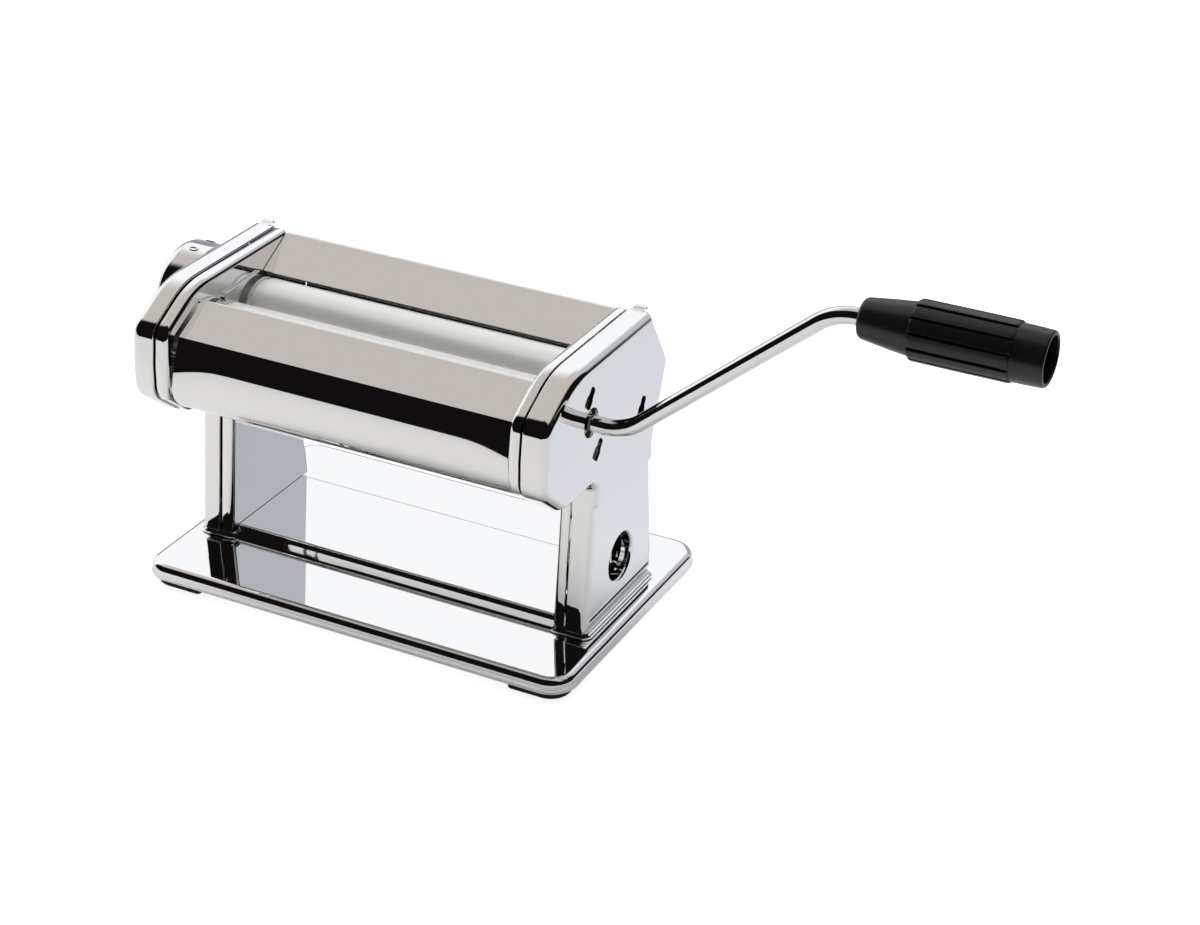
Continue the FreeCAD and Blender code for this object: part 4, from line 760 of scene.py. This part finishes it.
# Crank. One round steel bar, bent twice so that its outer end runs beside the
# machine's axis, plated, with two flats milled on the tip that goes into the
# driven roller.

THROW, BEND_R, BAR_R, BAR_SIDES = 71.4, 25.0, 3.5, 40
BAR_TIP, FLAT_END, SHOULDER, FLAT_HALF = 79.0, 92.2, 92.3, 2.5
FIRST_BEND, SECOND_BEND, BAR_END = 112.75, 197.2, 266.0
bar_line = rounded_line([(BAR_TIP, 0.0), (FIRST_BEND, 0.0), (SECOND_BEND, THROW),
                         (BAR_END, THROW)], [BEND_R, BEND_R], 20)


def crank_rod(made):
    """Rings along the bar, and two flattened ones at its tip."""
    around = [2 * math.pi * k / BAR_SIDES for k in range(BAR_SIDES)]
    rows = []
    for k, here in enumerate(bar_line):
        ahead = (bar_line[min(k + 1, len(bar_line) - 1)] - bar_line[max(k - 1, 0)]).normalized()
        up = Vector((-ahead.y, ahead.x))
        row = []
        for angle in around:
            reach = here + up * BAR_R * math.sin(angle)
            row.append(spot(reach.x, DRIVE_Y + BAR_R * math.cos(angle), AXIS_Z + reach.y))
        rows.append(row)
    flats = [[spot(x, DRIVE_Y + max(-FLAT_HALF, min(FLAT_HALF, BAR_R * math.cos(angle))),
                   AXIS_Z + BAR_R * math.sin(angle)) for angle in around]
             for x in (BAR_TIP, FLAT_END)]
    shoulder = [p + Vector(((SHOULDER - BAR_TIP) * MM, 0, 0)) for p in rows[0]]
    skin_rows(made, flats + [shoulder] + rows[1:])


crank = crisp(new_piece("crank_bar_bent", crank_rod))
bright_bar = metal("bright_bar", (0.84, 0.85, 0.86), 0.02, 0.07, 0.00001, wave=30.0)
coat(crank, bright_bar)
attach(crank, "crank")
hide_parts("crank_bar")

# Grip. A black moulded handle that turns on the bar: a cone at its near end,
# twelve long raised lands round its middle and a hollow outer end.

grip_black = moulded("grip_black", (0.012, 0.012, 0.013), 0.3, 1400.0, 0.000025,
                     spread=0.05)
GRIP_Z = AXIS_Z + THROW
LAND_FROM, LAND_TO, LAND_COUNT, LAND_ROOT = 228.5, 267.5, 12, 9.9


def grip_core(made):
    profile = [(207.5, 3.6), (207.5, 5.9), (207.6, 6.6), (207.9, 7.2), (208.5, 7.7),
               (209.3, 8.0), (219.5, 9.4), (227.5, 10.3), (228.2, 10.4), (266.8, 10.9),
               (267.5, 11.0), (272.0, 10.95), (278.6, 10.75), (279.4, 10.6),
               (279.85, 10.25), (280.0, 9.8), (280.0, 9.2), (279.8, 8.95), (279.4, 8.8),
               (262.6, 8.6), (262.1, 8.2), (262.0, 7.6), (262.0, 3.6)]
    turned_ring(made, profile, DRIVE_Y, GRIP_Z)


def grip_land(made):
    """One land, a long raised strip that follows the handle's round."""
    half = math.radians(360.0 / LAND_COUNT / 2 - 2.6)
    lengthwise = [(LAND_FROM, 10.2), (LAND_FROM + 0.12, 11.3), (LAND_FROM + 0.6, 11.62),
                  (LAND_FROM + 1.6, 11.7), (248.0, 11.75), (LAND_TO - 1.6, 11.7),
                  (LAND_TO - 0.6, 11.62), (LAND_TO - 0.12, 11.3), (LAND_TO, 10.6)]
    across = [(-1.0, -0.55), (-0.97, -0.2), (-0.88, 0.0), (-0.45, 0.03), (0.0, 0.05),
              (0.45, 0.03), (0.88, 0.0), (0.97, -0.2), (1.0, -0.55)]
    rows = []
    for x, height in lengthwise:
        polar = [(half * share, height + lift) for share, lift in across]
        polar += [(half, LAND_ROOT), (-half, LAND_ROOT)]
        rows.append([Vector((x, reach * math.cos(angle), reach * math.sin(angle))) * MM
                     for angle, reach in polar])
    skin_rows(made, rows)


def set_round():
    """Geometry nodes: repeat a shape round the X axis and move it in place."""
    tree = bpy.data.node_groups.new("set_round", "GeometryNodeTree")
    for name, kind in (("Shape", "Geometry"), ("Count", "Int"), ("Step Angle", "Float"),
                       ("Place", "Vector"), ("Finish", "Material")):
        tree.interface.new_socket(name, in_out="INPUT", socket_type="NodeSocket" + kind)
    tree.interface.new_socket("Geometry", in_out="OUTPUT", socket_type="NodeSocketGeometry")
    nodes, links = tree.nodes, tree.links
    asked = nodes.new("NodeGroupInput").outputs
    given = nodes.new("NodeGroupOutput").inputs
    points = nodes.new("GeometryNodePoints")
    links.new(asked["Count"], points.inputs["Count"])
    links.new(asked["Place"], points.inputs["Position"])
    number = nodes.new("GeometryNodeInputIndex")
    turn = nodes.new("ShaderNodeMath")
    turn.operation = "MULTIPLY"
    links.new(number.outputs["Index"], turn.inputs[0])
    links.new(asked["Step Angle"], turn.inputs[1])
    about_x = nodes.new("ShaderNodeCombineXYZ")
    links.new(turn.outputs["Value"], about_x.inputs["X"])
    copies = nodes.new("GeometryNodeInstanceOnPoints")
    links.new(points.outputs["Points"], copies.inputs["Points"])
    links.new(asked["Shape"], copies.inputs["Instance"])
    links.new(about_x.outputs["Vector"], copies.inputs["Rotation"])
    real = nodes.new("GeometryNodeRealizeInstances")
    links.new(copies.outputs["Instances"], real.inputs["Geometry"])
    finish = nodes.new("GeometryNodeSetMaterial")
    links.new(real.outputs["Geometry"], finish.inputs["Geometry"])
    links.new(asked["Finish"], finish.inputs["Material"])
    links.new(finish.outputs["Geometry"], given["Geometry"])
    return tree


def repeat_round(piece, count, place, material):
    """Run the set_round nodes on a piece and keep the result as its mesh."""
    setter = piece.modifiers.new("set_round", "NODES")
    setter.node_group = set_round()
    keys = {s.name: s.identifier for s in setter.node_group.interface.items_tree
            if s.in_out == "INPUT"}
    setter[keys["Count"]] = count
    setter[keys["Step Angle"]] = 2 * math.pi / count
    setter[keys["Place"]] = place
    setter[keys["Finish"]] = material
    return applied(piece)


grip = new_piece("crank_grip_core", grip_core)
lands = repeat_round(new_piece("crank_grip_lands", grip_land), LAND_COUNT,
                     spot(0.0, DRIVE_Y, GRIP_Z), grip_black)
land_mesh = lands.data
bpy.data.objects.remove(lands)
add_meshes(grip, [land_mesh])
crisp(grip, angle=40.0)
coat(grip, grip_black)
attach(grip, "grip")
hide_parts("crank_grip")

# Table, studio and camera. A white paper sweep under two soft lamps. Plated
# metal shows the room: a white back wall, blue grey to the right, a warm grey
# ceiling, and darkness on the camera's side and at the far right.

SWEEP_LEFT, SWEEP_RIGHT, SWEEP_FRONT, SWEEP_BACK = -2.4, 0.62, -0.9, 1.1
SWEEP_BEND, SWEEP_TOP = 0.5, 0.9
PAPER_NEAR, PAPER_FAR = (0.93, 0.92, 0.90), (0.86, 0.91, 0.98)
GLOW_IN_METAL, GLOW_SEEN = 0.14, 0.85
WALL, RIGHT_WALL = (1.06, 1.07, 1.09), (0.56, 0.59, 0.64)
DARK, CEILING = (0.006, 0.005, 0.005), (0.60, 0.565, 0.525)
LAMPS = (("back", (-0.5, 0.35, 1.3), 8.5), ("front", (0.1, -0.75, 1.25), 1.8))
LAMP_SIZE = 0.9


def table_sweep(made):
    """Level under the machine, then curved up behind it."""
    line = [(SWEEP_FRONT, 0.0), (SWEEP_BACK, 0.0)]
    line += [(SWEEP_BACK + SWEEP_BEND * s, SWEEP_BEND * (1 - c)) for s, c in arc(8)]
    line.append((SWEEP_BACK + SWEEP_BEND, SWEEP_TOP))
    rows = [[Vector((x, y, z)) for x in (SWEEP_LEFT, SWEEP_RIGHT)] for y, z in line]
    skin_rows(made, rows, closed=False, caps=False)


def blended(tree, share, one, two):
    """A colour between two others, each of them plain or a socket's."""
    made = tree.nodes.new("ShaderNodeMix")
    made.data_type = "RGBA"
    tree.links.new(share, made.inputs["Factor"])
    for value, key in ((one, 6), (two, 7)):
        plug(tree, (*value, 1.0) if isinstance(value, tuple) else value, made.inputs[key])
    return made.outputs[2]


def white_paper():
    """Matt paper, a little bluer to the back, brighter where it is seen."""
    made, tree, shader = new_material("white_paper")
    parts = tree.nodes.new("ShaderNodeSeparateXYZ")
    where = tree.nodes.new("ShaderNodeTexCoord")
    tree.links.new(where.outputs["Object"], parts.inputs["Vector"])
    tint = blended(tree, ranged(tree, parts.outputs["Y"], low=-0.12, high=0.1),
                   PAPER_NEAR, PAPER_FAR)
    tree.links.new(tint, shader["Base Color"])
    shader["Roughness"].default_value = 0.9
    shader["Specular IOR Level"].default_value = 0.1
    shader["Emission Color"].default_value = (0.98, 0.99, 1.0, 1.0)
    path = tree.nodes.new("ShaderNodeLightPath")
    glow = ranged(tree, path.outputs["Is Camera Ray"], 0.0, 1.0, GLOW_IN_METAL, GLOW_SEEN)
    tree.links.new(glow, shader["Emission Strength"])
    return made


def studio():
    """The room's colour by direction, with plain white behind the picture."""
    made = bpy.data.worlds.new("studio")
    made.use_nodes = True
    tree = made.node_tree
    tree.nodes.clear()
    parts = tree.nodes.new("ShaderNodeSeparateXYZ")
    where = tree.nodes.new("ShaderNodeTexCoord")
    tree.links.new(where.outputs["Generated"], parts.inputs["Vector"])

    def towards(axis, low, high):
        return ranged(tree, parts.outputs[axis], low, high, kind="SMOOTHSTEP")

    back_wall = blended(tree, towards("X", -0.05, 0.3), WALL, RIGHT_WALL)
    behind = blended(tree, towards("X", 0.5, 0.6), back_wall, DARK)
    around = blended(tree, towards("Y", -0.12, 0.06), DARK, behind)
    above = blended(tree, towards("Y", -0.3, -0.1), DARK, CEILING)
    room = blended(tree, towards("Z", 0.64, 0.84), around, above)
    light = tree.nodes.new("ShaderNodeBackground")
    tree.links.new(room, light.inputs["Color"])
    plain = tree.nodes.new("ShaderNodeBackground")
    plain.inputs["Color"].default_value = (1.0, 1.0, 1.0, 1.0)
    path = tree.nodes.new("ShaderNodeLightPath")
    choice = tree.nodes.new("ShaderNodeMixShader")
    tree.links.new(path.outputs["Is Camera Ray"], choice.inputs["Fac"])
    tree.links.new(light.outputs["Background"], choice.inputs[1])
    tree.links.new(plain.outputs["Background"], choice.inputs[2])
    output = tree.nodes.new("ShaderNodeOutputWorld")
    tree.links.new(choice.outputs["Shader"], output.inputs["Surface"])
    return made


table = new_piece("table_sweep", table_sweep)
for face in table.data.polygons:
    face.use_smooth = True
coat(table, white_paper())

bpy.context.scene.world = studio()

for word, place, power in LAMPS:
    lamp_data = bpy.data.lights.new("soft_box_" + word, "AREA")
    lamp_data.shape = "RECTANGLE"
    lamp_data.size = LAMP_SIZE
    lamp_data.size_y = LAMP_SIZE
    lamp_data.energy = power
    lamp = new_object("soft_box_" + word, lamp_data)
    lamp.visible_glossy = False
    lamp.matrix_world = Matrix.Translation(place) @ \
        Vector(place).to_track_quat("Z", "Y").to_matrix().to_4x4()

camera_data = bpy.data.cameras.new("camera")
camera_data.sensor_width = 36.0
camera_data.sensor_fit = "HORIZONTAL"
camera_data.lens = 77.607
camera = new_object("camera", camera_data)
right = Vector((0.8923714, 0.450687, 0.02354795))
upward = Vector((-0.23065581, 0.41061255, 0.88215375))
backward = Vector((0.38790614, -0.79264025, 0.47037247))
stand = spot(502.707, -853.638, 584.374)
camera.matrix_world = Matrix(((right.x, upward.x, backward.x, stand.x),
                              (right.y, upward.y, backward.y, stand.y),
                              (right.z, upward.z, backward.z, stand.z),
                              (0.0, 0.0, 0.0, 1.0)))
bpy.context.scene.camera = camera
bpy.context.scene.view_settings.view_transform = "Standard"
